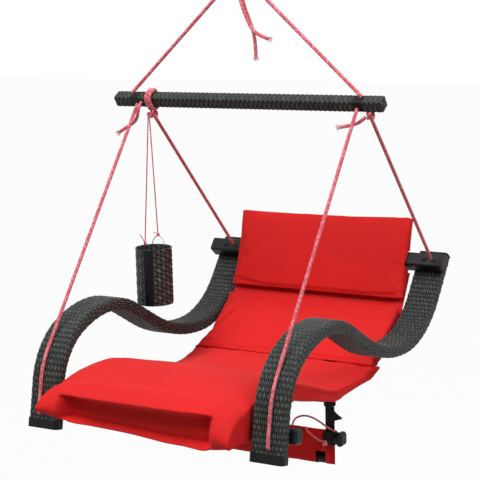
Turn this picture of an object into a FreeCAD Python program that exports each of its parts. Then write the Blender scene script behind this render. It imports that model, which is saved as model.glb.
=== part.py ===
import FreeCAD, Part
import math
import os
import Sketcher
from FreeCAD import Placement, Rotation, Vector

# Hanging swing lounger: two woven S-shaped arms carry a red padded sling seat, and four ropes hang them
# from a woven spreader bar, whose bridle ends in a ring. X is the sitter's left-right, -Y the front, +Z up,
# and the origin is the inside top of the hanging ring.

# Driving dimensions in millimetres and degrees.
SIZES = (
    ("fit_gap", 0.1, "between a core and the sleeve woven round it"),
    ("rest_gap", 0.3, "between pieces that only rest on each other"),
    ("overrun", 6, "how far a cut runs past the face that it opens"),
    ("ring_wire", 8, "wire of both steel rings"),
    ("ring_bore", 50, "inside of the hanging ring"),
    ("link_bore", 40, "inside of the rope ring"),
    ("ring_play", 0.5, "between the linked rings"),
    ("rope_diameter", 10, "braided suspension rope"),
    ("eye_play", 0.6, "between the rope eye and its ring"),
    ("bridle_knot_radius", 17, "knot under the rope eye"),
    ("bridle_knot_length", 34, "knot under the rope eye"),
    ("bridle_start", 23, "from the knot's middle to the start of each bridle rope"),
    ("bridle_inset", 48.5, "from the spreader's end in to a bridle rope"),
    ("bridle_drop", 301, "from the knot's middle down to the spreader's pivot"),
    ("tail_spread", 10.4, "between the two loose tails of the bridle knot"),
    ("pivot_gap", 0.4, "between a bridle rope's end and the spreader"),
    ("spreader_length", 753, "woven length of the spreader bar"),
    ("spreader_side", 30, "square section of the spreader bar"),
    ("spreader_corner", 6, "corner radius of the spreader bar"),
    ("spreader_wall", 3.5, "thickness of the spreader's weave"),
    ("spreader_angle", 30, "degrees that the bar's top face leans forward"),
    ("spreader_cap", 5, "folded end of the weave"),
    ("rope_hole_play", 0.8, "rope hole diameter over the rope's"),
    ("front_rope_inset", 61.5, "from the spreader's end in to a front rope"),
    ("left_hitch_inset", 104.5, "from the spreader's end in to the left rear rope's hitch"),
    ("right_knot_inset", 31.5, "from the spreader's end in to the right rear rope's knot"),
    ("rear_rope_left_in", 22.5, "from the left arm's middle in to its rear rope's hole"),
    ("rear_rope_right_out", 17.5, "from the right arm's middle out to its rear rope's hole"),
    ("knot_radius", 9, "rope knots at the bar and behind the legs"),
    ("knot_length", 19, "rope knots at the bar and behind the legs"),
    ("knot_start", 12.5, "from a knot's middle to the start of its rope"),
    ("arm_inset", 6.5, "from a front rope in to the arm's middle"),
    ("arm_width", 83, "arm band across the chair"),
    ("arm_thickness", 32, "arm band through its thickness"),
    ("arm_corner", 9, "corner radius of the arm band"),
    ("arm_wall", 4, "thickness of the arm's weave"),
    ("foot_forward", 465.3, "from the spreader's middle forward to the foot"),
    ("foot_drop", 752.5, "from the spreader's middle down to the foot"),
    ("leg_heading", 79, "slope of the leg"),
    ("leg_length", 109, "straight leg"),
    ("shoulder_radius", 165, "bend from the leg to the crest"),
    ("shoulder_angle", 54, "degrees of that bend"),
    ("crest_radius", 300, "front of the crest"),
    ("crest_angle", 25, "degrees of that bend"),
    ("fall_radius", 220, "back of the crest"),
    ("fall_angle", 30, "degrees of that bend"),
    ("fall_length", 104, "straight fall behind the crest"),
    ("trough_radius", 460, "front of the trough"),
    ("trough_angle", 30, "degrees of that bend"),
    ("rise_radius", 250, "back of the trough"),
    ("rise_angle", 51, "degrees of that bend"),
    ("rise_length", 125, "straight rise to the arm's end"),
    ("foot_cap_height", 20, "how far the foot cap reaches up the leg"),
    ("foot_cap_wall", 2, "wall and floor of the foot cap"),
    ("end_cap", 3, "plate on the arm's upper end"),
    ("rope_hole_rise", 31, "from the foot up the leg to the rope hole"),
    ("rope_bend", 9, "radius of the front rope's turn into its hole"),
    ("front_bar_side", 36, "square section of the front cross bar"),
    ("front_bar_overhang", 43.5, "front cross bar past each arm's middle, without its cap"),
    ("front_bar_rise", 60, "from the foot up the leg to the front bar's middle"),
    ("rear_bar_side", 40, "square section of the rear cross bar"),
    ("rear_bar_overhang", 38.5, "rear cross bar past each arm's middle, without its cap"),
    ("rear_bar_wall", 2.7, "wall of the rear cross bar, a steel tube"),
    ("rear_bar_set", 83, "from the start of the arm's rise to the rear bar's middle"),
    ("bar_corner", 7, "corner radius of the cross bars"),
    ("bar_cap", 12, "length of a cross bar's end cap"),
    ("bar_cap_chamfer", 5, "chamfer round a cap's outer end"),
    ("bolt_diameter", 8, "bolts from the cross bars into the arms"),
    ("bolt_head_diameter", 15, "domed bolt heads"),
    ("bolt_head_height", 5, "domed bolt heads"),
    ("bolt_grip", 18, "how deep a bolt goes into the arm"),
    ("pocket_wall", 1.5, "cloth pocket round a cross bar"),
    ("pocket_inset", 30, "from a cushion's side in to the cloth pocket's end"),
    ("pad_side_gap", 1, "between a cushion's side and the arm"),
    ("pad_side_fall", 8, "how far a cushion's face drops to its sewn side"),
    ("pad_draw", 4, "how far a back cushion's corners are drawn in along the back"),
    ("pad_end", 20, "thickness of a back cushion at its sewn ends"),
    ("seam_gap", 2, "half the gap at a sewn seam between two cushions"),
    ("head_rise", 112.2, "from the rear bar's middle up to the head cushion's top"),
    ("head_back", 2.6, "from the rear bar's middle back to the head cushion's top"),
    ("head_thickness", 28, "head cushion in its middle, without its swell"),
    ("head_crown", 11, "swell of the head cushion's face"),
    ("head_sag", 2, "how far the head cushion is bowed backwards"),
    ("back_seam_drop", 92.4, "from the rear bar's middle down to the seam below the head cushion"),
    ("back_seam_forward", 69.4, "from the rear bar's middle forward to that seam"),
    ("lumbar_thickness", 45, "lumbar cushion in its middle, without its swell"),
    ("lumbar_crown", 11, "swell of the lumbar cushion's face"),
    ("lumbar_sag", 12, "how far the lumbar cushion is bowed backwards"),
    ("seat_rise", 15.7, "from the front bar's middle up to the seam behind the seat"),
    ("nose_reach", 145, "from the front bar's middle forward to the seat's front"),
    ("seat_height", 126, "seat cushion from its lowest face to its front crest"),
    ("nose_fall", 42, "how far the seat's front corners droop"),
    ("sling_thickness", 3, "sling cloth under the cushions"),
    ("sling_inset", 16, "from a cushion's side in to the sling's edge"),
    ("sling_clear", 5, "between the seat cushion's lowest face and the sling"),
    ("footrest_back", 35.5, "from the spreader's middle forward to the stowed footrest"),
    ("anchor_height", 6.4, "sewn tab between the sling and a strap's pivot"),
    ("strap_reach", 80, "from the strap's pivot down to the footrest bar"),
    ("strap_width", 24, "webbing strap"),
    ("strap_thickness", 4, "two plies of webbing"),
    ("strap_inset", 23, "from a cushion's side in to a strap's middle"),
    ("anchor_depth", 16, "sewn tab over each strap, front to back"),
    ("footrest_bar_diameter", 32, "upper bar of the stowed footrest"),
    ("footrest_bar_overhang", 27, "upper bar past each strap's middle, without its cap"),
    ("footrest_cap_side", 34, "square cap of the footrest bar"),
    ("footrest_dowel_diameter", 24, "lower dowel of the footrest"),
    ("dowel_short", 35, "how much shorter the dowel is at each end"),
    ("panel_thickness", 2, "footrest cloth"),
    ("panel_inset", 15, "from the footrest bar's end in to the cloth's edge"),
    ("panel_reach", 51, "between the bends of the hanging footrest cloth"),
    ("notch_inset", 17, "from the dowel's end in to the sleeve's notch"),
    ("notch_width", 20, "sleeve's notch over the dowel"),
    ("notch_height", 34, "sleeve's notch over the dowel"),
    ("tie_diameter", 5, "thin cord on the footrest"),
    ("cup_clear", 12.3, "between the drink holder's foot and the arm below it"),
    ("cup_diameter", 89, "outside of the drink holder"),
    ("cup_height", 140, "drink holder from rim to foot"),
    ("cup_wall", 3, "woven wall of the drink holder"),
    ("cup_floor", 4, "floor disc of the drink holder"),
    ("cup_cord_diameter", 3.5, "thin cords of the drink holder"),
    ("cup_knot_radius", 6, "knot at the top of those cords"),
    ("cup_wire", 2.6, "wire arch on the rim"),
    ("cup_arch_span", 40, "wire arch on the rim"),
    ("cup_arch_angle", 104, "degrees round the rim from +X to the arch"),
    ("cup_tie_angle", 215, "degrees round the rim from +X to the tied cord"),
)

# Dimensions that follow from those.
DERIVED = (
    ("bridle_half_span", "=spreader_length / 2 - bridle_inset", "from the middle to each bridle rope's end"),
    ("front_rope_x", "=spreader_length / 2 - front_rope_inset", "from the middle to each front rope"),
    ("left_hitch_x", "=spreader_length / 2 - left_hitch_inset", "from the middle to the left rear rope's hitch"),
    ("right_knot_x", "=spreader_length / 2 - right_knot_inset", "from the middle to the right rear rope's knot"),
    ("arm_x", "=front_rope_x - arm_inset", "from the middle to each arm's middle"),
    ("rear_rope_left_x", "=arm_x - rear_rope_left_in", "from the middle to the left rear rope's hole"),
    ("rear_rope_right_x", "=arm_x + rear_rope_right_out", "from the middle to the right rear rope's hole"),
    ("front_bar_length", "=2 * (arm_x + front_bar_overhang)", "front cross bar without its caps"),
    ("rear_bar_length", "=2 * (arm_x + rear_bar_overhang)", "rear cross bar without its caps"),
    ("pad_half_width", "=arm_x - arm_width / 2 - pad_side_gap", "from the middle to the cushions' sides"),
    ("pocket_half_width", "=pad_half_width - pocket_inset", "from the middle to a pocket's end"),
    ("sling_half_width", "=pad_half_width - sling_inset", "from the middle to the sling's edge"),
    ("strap_x", "=pad_half_width - strap_inset", "from the middle to each strap"),
    ("footrest_bar_length", "=2 * (strap_x + footrest_bar_overhang)", "footrest's upper bar without its caps"),
    ("footrest_dowel_length", "=footrest_bar_length - 2 * dowel_short", "lower dowel of the footrest"),
    ("panel_half_width", "=footrest_bar_length / 2 - panel_inset", "from the middle to the footrest cloth's edge"),
    ("notch_x", "=footrest_dowel_length / 2 - notch_inset", "from the middle to the sleeve's notch over the dowel"),
)
# How far back the seam behind the seat lies, as a share of the way from the front bar to the rear bar.
SEAM_SHARE = 0.6828

# Outline of the seat cushion's middle: shares of its depth forward of the rear seam, of its height, and of the
# droop of its front corners.
SEAT_TOP_SHARES = ((0.0, 0.417, 0.0), (0.16, 0.393, 0.0), (0.313, 0.484, 0.0), (0.466, 0.746, 0.0),
                   (0.62, 0.972, 0.0), (0.743, 0.996, 0.08), (0.882, 0.952, 0.5))
SEAT_NOSE_SHARES = ((0.972, 0.873, 0.92), (0.997, 0.706, 0.85), (1.001, 0.5, 0.45), (0.983, 0.317, 0.12))
SEAT_BELLY_SHARES = ((0.543, 0.492, 0.0), (0.314, 0.095, 0.0), (0.199, 0.008, 0.0), (0.011, 0.278, 0.0),
                     (-0.002, 0.349, 0.0))
SLING_HEEL_SHARES = (0.098, 0.0, 0.0)
# How far out a cushion's sections stand, as shares of its half width, of the side fall and of the front droop.
PAD_STATION_SHARES = ((-1.0, 1.0, 1.0), (-0.985, 0.5, 0.88), (-0.94, 0.22, 0.66), (-0.8, 0.08, 0.32),
                      (-0.5, 0.02, 0.06), (0.0, 0.0, 0.0), (0.5, 0.02, 0.06), (0.8, 0.08, 0.32),
                      (0.94, 0.22, 0.66), (0.985, 0.5, 0.88), (1.0, 1.0, 1.0))

# Routes of the loose rope ends, in the part's own frame but for X, which is from the rope's hole or knot, and of the
# footrest's cord, from the right strap and the footrest's bar.
BRIDLE_TAIL_LONG = ((0, 5.2, -143), (1, 5.2, -172), (8, 5.3, -205), (22, 5.4, -240), (34, 5.4, -272),
                    (39, 5.3, -303), (39.5, 5.2, -332))
BRIDLE_TAIL_SHORT = ((0, -5.2, -143), (1, -5.2, -172), (8, -5.3, -205), (22, -5.4, -240), (36, -5.4, -266),
                     (56, -5.3, -281), (80, -5.2, -289))
FRONT_TAIL_LEFT = ((15, -3.4, -451.9), (15, -15, -460), (14, -18, -474), (6, -11, -490), (-7, -6, -503),
                   (-25, -3, -512), (-42, -1, -521), (-58, 0, -530))
REAR_TAIL_RIGHT = ((-12.4, 11, -476), (-21, 10, -484), (-33, 9, -491), (-49, 8, -496), (-64, 7, -499),
                   (-77, 6, -501))
FOOTREST_CORD = ((-104, -4.7, 18.7), (-101, -6.2, 31.1), (-90, -7.7, 42.1), (-75, -7.7, 49.1),
                 (-58, -6.7, 50.1), (-41, -6.2, 46.1), (-25, -6.7, 39.1), (-10, -8.2, 31.6),
                 (4, -8.7, 25.1), (18.5, -8.2, 20.1))

os.makedirs("parts", exist_ok=True)
doc = FreeCAD.newDocument("swing_lounger")
sheet = doc.addObject("Spreadsheet::Sheet", "Sizes")
for row, (alias, value, note) in enumerate(SIZES + DERIVED, 1):
    sheet.set(f"A{row}", note)
    sheet.set(f"B{row}", str(value))
    sheet.setAlias(f"B{row}", alias)
doc.recompute()

SIDES = (("left", -1), ("right", 1))
nodes = {}


def cell(alias):
    """The number in the sheet's cell of that name."""
    return float(sheet.get(alias))


def keep(thing, label, place=None):
    """Labels a finished sub-part, places it and adds it to the nodes that are written."""
    thing.Label = label
    if place is not None:
        thing.Placement = place
    nodes[label] = thing
    return thing


def at_yz(x, flat):
    """A point from its X and its (Y, Z) pair."""
    return Vector(x, flat[0], flat[1])


def along(flat, heading, distance):
    """The (Y, Z) point that lies a distance from another one on a heading."""
    return (flat[0] + distance * math.cos(heading), flat[1] + distance * math.sin(heading))


def turned_x(x, flat, degrees):
    """A placement at X and (Y, Z), turned about X."""
    return Placement(at_yz(x, flat), Rotation(Vector(1, 0, 0), degrees))


def pointing(start, direction):
    """A placement whose Z axis runs from a start along a direction."""
    return Placement(start, Rotation(Vector(0, 0, 1), direction))


# Sketches and features that several bodies share.
def new_sketch(body, name, role, offset=None):
    """An empty sketch on one of the body's own origin planes."""
    sketch = body.newObject("Sketcher::SketchObject", name)
    plane = [feature for feature in body.Origin.OriginFeatures if feature.Role == role][0]
    sketch.AttachmentSupport = (plane, [""])
    sketch.MapMode = "FlatFace"
    if offset is not None:
        sketch.AttachmentOffset = offset
    return sketch


def bound(sketch, constraint, expression):
    """Adds a dimension to a sketch and ties it to the sheet."""
    index = sketch.addConstraint(constraint)
    sketch.setExpression(f"Constraints[{index}]", expression)


def value_of(expression):
    """The number that an expression over the sheet's cells gives."""
    doc.recompute()
    return float(sheet.evalExpression(expression.replace("Sizes.", "")))


def rounded_rectangle(sketch, width, height, corner):
    """A centred rectangle with round corners, its three sizes given as expressions."""
    radius = value_of(corner)
    across = value_of(width) / 2
    up = value_of(height) / 2
    arcs = []
    for quarter, (sx, sy) in enumerate(((1, 1), (-1, 1), (-1, -1), (1, -1))):
        middle = Vector(sx * (across - radius), sy * (up - radius), 0)
        start = quarter * math.pi / 2
        circle = Part.Circle(middle, Vector(0, 0, 1), radius)
        arcs.append(sketch.addGeometry(Part.ArcOfCircle(circle, start, start + math.pi / 2), False))
    ends = (
        ((across - radius, up), (radius - across, up)),
        ((-across, up - radius), (-across, radius - up)),
        ((radius - across, -up), (across - radius, -up)),
        ((across, radius - up), (across, up - radius)),
    )
    lines = [sketch.addGeometry(Part.LineSegment(Vector(*a, 0), Vector(*b, 0)), False) for a, b in ends]
    for index in range(len(lines)):
        following = (index + 1) % len(arcs)
        sketch.addConstraint(Sketcher.Constraint("Tangent", arcs[index], 2, lines[index], 1))
        sketch.addConstraint(Sketcher.Constraint("Tangent", lines[index], 2, arcs[following], 1))
    for index, kind in enumerate(("Horizontal", "Vertical", "Horizontal", "Vertical")):
        sketch.addConstraint(Sketcher.Constraint(kind, lines[index]))
    for arc in arcs[1:]:
        sketch.addConstraint(Sketcher.Constraint("Equal", arcs[0], arc))
    sketch.addConstraint(Sketcher.Constraint("Symmetric", arcs[0], 3, arcs[2], 3, -1, 1))
    bound(sketch, Sketcher.Constraint("Radius", arcs[0], radius), corner)
    bound(sketch, Sketcher.Constraint("DistanceX", lines[1], 1, lines[3], 2, 2 * across), width)
    bound(sketch, Sketcher.Constraint("DistanceY", lines[2], 1, lines[0], 2, 2 * up), height)


def centred_circle(sketch, diameter):
    """A circle round the sketch's origin, its diameter given as an expression."""
    size = value_of(diameter)
    ring = sketch.addGeometry(Part.Circle(Vector(0, 0, 0), Vector(0, 0, 1), size / 2), False)
    sketch.addConstraint(Sketcher.Constraint("Coincident", ring, 3, -1, 1))
    bound(sketch, Sketcher.Constraint("Diameter", ring, size), diameter)


def pad(body, sketch, length, symmetric=True):
    """Pads a sketch by a length given as an expression."""
    feature = body.newObject("PartDesign::Pad", "pad")
    feature.Profile = sketch
    feature.setExpression("Length", length)
    if symmetric:
        feature.SideType = "Symmetric"
    doc.recompute()
    return feature


def drill(body, start, direction, diameter, depth):
    """Cuts a round hole whose middle is at start, the depth shared to both sides."""
    before = body.Shape.Volume
    sketch = new_sketch(body, "hole", "XY_Plane", pointing(start, direction))
    centred_circle(sketch, diameter)
    feature = body.newObject("PartDesign::Pocket", "drilled")
    feature.Profile = sketch
    feature.setExpression("Length", depth)
    feature.SideType = "Symmetric"
    doc.recompute()
    if body.Shape.Volume >= before:
        raise RuntimeError(f"a hole in {body.Label} cut nothing")


def square_bar(label, side, length, corner, place, hollow_side=None, hollow_corner=None):
    """A body with a round-cornered square section along X, hollow where an inner side is given."""
    body = doc.addObject("PartDesign::Body", label)
    section = new_sketch(body, "section", "YZ_Plane")
    rounded_rectangle(section, side, side, corner)
    if hollow_side is not None:
        rounded_rectangle(section, hollow_side, hollow_side, hollow_corner)
    pad(body, section, length)
    return keep(body, label, place)


def bar_cap(label, side, corner, place):
    """An end cap on a square bar, chamfered round its outer end, which faces local +X."""
    body = doc.addObject("PartDesign::Body", label)
    section = new_sketch(body, "section", "YZ_Plane")
    rounded_rectangle(section, side, side, corner)
    feature = pad(body, section, "Sizes.bar_cap", symmetric=False)
    reach = feature.Shape.BoundBox.XMax
    rim = [
        f"Edge{index}"
        for index, edge in enumerate(feature.Shape.Edges, 1)
        if abs(edge.BoundBox.XMin - reach) < cell("fit_gap")
    ]
    chamfer = body.newObject("PartDesign::Chamfer", "rim")
    chamfer.Base = (feature, rim)
    chamfer.setExpression("Size", "Sizes.bar_cap_chamfer")
    doc.recompute()
    return keep(body, label, place)


def knot(label, radius, length, place):
    """A knot drawn tight: three round turns of rope about the Z axis."""
    body = doc.addObject("PartDesign::Body", label)
    sketch = new_sketch(body, "turns", "XZ_Plane")
    outer = value_of(radius)
    half = value_of(length) / 2
    turns = 3
    step = 2 * half / turns
    waist = outer - step / 4
    levels = [index * step - half for index in range(turns + 1)]
    bottom = Vector(0, -half, 0)
    top = Vector(0, half, 0)
    sketch.addGeometry(Part.LineSegment(bottom, Vector(waist, -half, 0)), False)
    for low, high in zip(levels, levels[1:]):
        bulge = Vector(outer, (low + high) / 2, 0)
        sketch.addGeometry(Part.Arc(Vector(waist, low, 0), bulge, Vector(waist, high, 0)), False)
    sketch.addGeometry(Part.LineSegment(Vector(waist, half, 0), top), False)
    sketch.addGeometry(Part.LineSegment(top, bottom), False)
    turned = body.newObject("PartDesign::Revolution", "turned")
    turned.Profile = sketch
    turned.ReferenceAxis = (sketch, ["V_Axis"])
    doc.recompute()
    return keep(body, label, place)


# Ropes and cords: straight runs joined by tangent arcs.
def soft_radii(points):
    """The largest radius that each corner of a free route allows."""
    radii = []
    for before, corner, after in zip(points, points[1:], points[2:]):
        turn = (corner - before).getAngle(after - corner)
        run = min((corner - before).Length, (after - corner).Length)
        radii.append(0.45 * run / math.tan(turn / 2))
    return radii


def route_wire(points, radii):
    """A wire along points with an arc of its own radius at each inner point."""
    edges = []
    last = points[0]
    for before, corner, after, radius in zip(points, points[1:], points[2:], radii):
        back = (before - corner).normalize()
        on = (after - corner).normalize()
        half = back.getAngle(on) / 2
        trim = radius / math.tan(half)
        middle = corner + (back + on).normalize() * (radius / math.sin(half) - radius)
        edges.append(Part.LineSegment(last, corner + back * trim).toShape())
        edges.append(Part.Arc(corner + back * trim, middle, corner + on * trim).toShape())
        last = corner + on * trim
    edges.append(Part.LineSegment(last, points[-1]).toShape())
    return Part.Wire(edges)


def swept(path, section):
    """A solid swept along a wire from a section wire at its start."""
    solid = Part.Wire(path).makePipeShell([section], True, False)
    if not solid.isValid() or solid.Volume <= 0:
        raise RuntimeError("a sweep failed")
    return solid


def tube(label, path, diameter):
    """A round cord along a wire, kept as a node, its volume set against section times length."""
    first = path.Edges[0]
    start = path.OrderedVertexes[0].Point
    heading = first.tangentAt(first.FirstParameter)
    circle = Part.Circle(start, heading, diameter / 2).toShape()
    solid = swept(path, Part.Wire([circle]))
    expected = math.pi * diameter**2 / 4 * path.Length
    if abs(solid.Volume - expected) > expected / 100:
        raise RuntimeError(f"{label} has the wrong volume")
    radii = [round(edge.Curve.Radius, 1) for edge in path.Edges if hasattr(edge.Curve, "Radius")]
    print(f"{label}: length {path.Length:.0f}, radii {radii}")
    feature = doc.addObject("Part::Feature", label)
    feature.Shape = solid
    return keep(feature, label)


def loose_cord(label, route, diameter, anchor=Vector()):
    """A free cord along a route of points chosen by hand."""
    points = [anchor + Vector(*point) for point in route]
    return tube(label, route_wire(points, soft_radii(points)), diameter)


def straight_cord(label, start, end, diameter):
    """A taut cord between two points."""
    rod = doc.addObject("Part::Cylinder", label)
    rod.setExpression("Radius", f"{diameter} / 2")
    rod.Height = (end - start).Length
    print(f"{label}: length {(end - start).Length:.0f}, straight")
    return keep(rod, label, pointing(start, end - start))


# Places that several sub-assemblies share, all worked out from the sheet.
rope = cell("rope_diameter")
ring_radius = (cell("ring_bore") + cell("ring_wire")) / 2
link_radius = (cell("link_bore") + cell("ring_wire")) / 2
ring_z = -cell("ring_bore") / 2
swing_z = ring_z - ring_radius
link_z = swing_z + cell("ring_wire") + cell("ring_play") - link_radius
sway_z = link_z - link_radius
eye_radius = (cell("ring_wire") + rope) / 2 + cell("eye_play")
apex = Vector(0, 0, sway_z - eye_radius - rope / 2 - cell("rest_gap") - cell("bridle_knot_length") / 2)
pivot_z = apex.z - cell("bridle_drop")
roll = math.radians(cell("spreader_angle"))
pivot_stand = cell("spreader_side") / 2 + cell("pivot_gap") + rope / 2
spreader = (pivot_stand * math.sin(roll), pivot_z - pivot_stand * math.cos(roll))

leg = math.radians(cell("leg_heading"))
rise = math.radians(cell("rise_angle"))
foot = (spreader[0] - cell("foot_forward"), spreader[1] - cell("foot_drop"))
half_arm = cell("arm_thickness") / 2
# The arm's centre line, bend by bend: names of length or radius, and of the turn to the right or left.
ARM_PATH = (
    ("line", "leg_length", None, 0),
    ("arc", "shoulder_radius", "shoulder_angle", -1),
    ("arc", "crest_radius", "crest_angle", -1),
    ("arc", "fall_radius", "fall_angle", -1),
    ("line", "fall_length", None, 0),
    ("arc", "trough_radius", "trough_angle", 1),
    ("arc", "rise_radius", "rise_angle", 1),
    ("line", "rise_length", None, 0),
)


def arm_stations():
    """The start of each bend of the arm and its end, as (Y, Z) points from the foot with their headings."""
    point = (0.0, 0.0)
    heading = leg
    stations = [(point, heading)]
    for kind, size, turn, way in ARM_PATH:
        if kind == "line":
            point = along(point, heading, cell(size))
        else:
            centre = along(point, heading + way * math.pi / 2, cell(size))
            heading += way * math.radians(cell(turn))
            point = along(centre, heading - way * math.pi / 2, cell(size))
        stations.append((point, heading))
    return stations


stations = arm_stations()
leg_side = leg - math.pi / 2
shoulder = along(stations[1][0], leg_side, cell("shoulder_radius"))
rise_start, rise_heading = stations[-2]
rise_side = rise_heading + math.pi / 2
front_seat = along(along((0, 0), leg, cell("front_bar_rise")), leg_side, half_arm)
front_bar_local = along(front_seat, leg_side, cell("front_bar_side") / 2)
front_bar = (foot[0] + front_bar_local[0], foot[1] + front_bar_local[1])
rear_seat = along(along(rise_start, rise_heading, cell("rear_bar_set")), rise_side, half_arm)
rear_bar_local = along(rear_seat, rise_side, cell("rear_bar_side") / 2)
rear_bar = (foot[0] + rear_bar_local[0], foot[1] + rear_bar_local[1])
rise_degrees = math.degrees(rise_heading)
leg_degrees = math.degrees(leg_side)


# Hanging rings, bridle and its knot.
def build_hanger():
    """Two linked steel rings, the rope eye, the knot, both bridle ropes and the knot's tails."""
    axis_y = Rotation(Vector(1, 0, 0), 90)
    axis_x = Rotation(Vector(0, 1, 0), 90)
    rings = (
        ("hanging_ring", "(Sizes.ring_bore + Sizes.ring_wire) / 2", "Sizes.ring_wire / 2", ring_z, axis_y),
        ("rope_ring", "(Sizes.link_bore + Sizes.ring_wire) / 2", "Sizes.ring_wire / 2", link_z, axis_x),
        ("bridle_eye", "(Sizes.ring_wire + Sizes.rope_diameter) / 2 + Sizes.eye_play",
         "Sizes.rope_diameter / 2", sway_z, axis_y),
    )
    for label, radius, wire, height, turn in rings:
        ring = doc.addObject("Part::Torus", label)
        ring.setExpression("Radius1", radius)
        ring.setExpression("Radius2", wire)
        keep(ring, label, Placement(Vector(0, 0, height), turn))
    upright = Placement(apex, Rotation())
    knot("bridle_knot", "Sizes.bridle_knot_radius", "Sizes.bridle_knot_length", upright)
    for side, sign in SIDES:
        end = Vector(sign * cell("bridle_half_span"), 0, pivot_z)
        direction = (end - apex).normalize()
        start = apex + direction * cell("bridle_start")
        label = f"bridle_rope_{side}"
        rod = doc.addObject("Part::Cylinder", f"{label}_run")
        rod.setExpression("Radius", "Sizes.rope_diameter / 2")
        rod.Height = (end - start).Length
        rod.Placement = pointing(start, direction)
        tip = doc.addObject("Part::Sphere", f"{label}_tip")
        tip.setExpression("Radius", "Sizes.rope_diameter / 2")
        tip.Placement = Placement(end, Rotation())
        whole = doc.addObject("Part::Fuse", label)
        whole.Base = rod
        whole.Tool = tip
        keep(whole, label)
        print(f"{label}: length {(end - start).Length:.0f}, straight")
    loose_cord("bridle_tail_long", BRIDLE_TAIL_LONG, rope)
    loose_cord("bridle_tail_short", BRIDLE_TAIL_SHORT, rope)


# Spreader bar with its woven sleeve and the ropes tied to it.
def touching(point, centre, radius, way):
    """The angle round a circle where a line from a (Y, Z) point touches it, on the left (1) or right (-1)."""
    reach = math.hypot(point[0] - centre[0], point[1] - centre[1])
    sight = math.atan2(point[1] - centre[1], point[0] - centre[0])
    return sight + way * math.acos(radius / reach)


def front_rope_run():
    """The front rope's ride in (Y, Z): the circle round the arm's shoulder and the angle where it meets it."""
    centre = (foot[0] + shoulder[0], foot[1] + shoulder[1])
    ride = cell("shoulder_radius") + half_arm + cell("rest_gap") + rope / 2
    return centre, ride, touching(spreader, centre, ride, 1)


def build_spreader():
    """The bar's core, woven sleeve and folded ends, with a hole along each front rope."""
    place = turned_x(0, spreader, cell("spreader_angle"))
    centre, ride, touch = front_rope_run()
    leaving = touch + math.pi / 2
    direction = Vector(0, math.cos(leaving), math.sin(leaving))
    local = place.Rotation.inverted().multVec(direction)
    core_side = "Sizes.spreader_side - 2 * Sizes.spreader_wall - 2 * Sizes.fit_gap"
    core_corner = "Sizes.spreader_corner - Sizes.spreader_wall - Sizes.fit_gap"
    bars = [
        square_bar("spreader_core", core_side, "Sizes.spreader_length", core_corner, place),
        square_bar("spreader_sleeve", "Sizes.spreader_side", "Sizes.spreader_length", "Sizes.spreader_corner",
                   place, "Sizes.spreader_side - 2 * Sizes.spreader_wall",
                   "Sizes.spreader_corner - Sizes.spreader_wall"),
    ]
    for bar in bars:
        for side, sign in SIDES:
            mouth = Vector(sign * cell("front_rope_x"), 0, 0) + local * cell("spreader_side") / 2
            drill(bar, mouth, local, "Sizes.rope_diameter + Sizes.rope_hole_play",
                  "Sizes.spreader_side + 2 * Sizes.fit_gap")
    for side, sign in SIDES:
        label = f"spreader_cap_{side}"
        body = doc.addObject("PartDesign::Body", label)
        section = new_sketch(body, "section", "YZ_Plane")
        rounded_rectangle(section, "Sizes.spreader_side", "Sizes.spreader_side", "Sizes.spreader_corner")
        pad(body, section, "Sizes.spreader_cap")
        out = sign * (cell("spreader_length") + cell("spreader_cap")) / 2
        keep(body, label, turned_x(out, spreader, cell("spreader_angle")))


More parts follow.
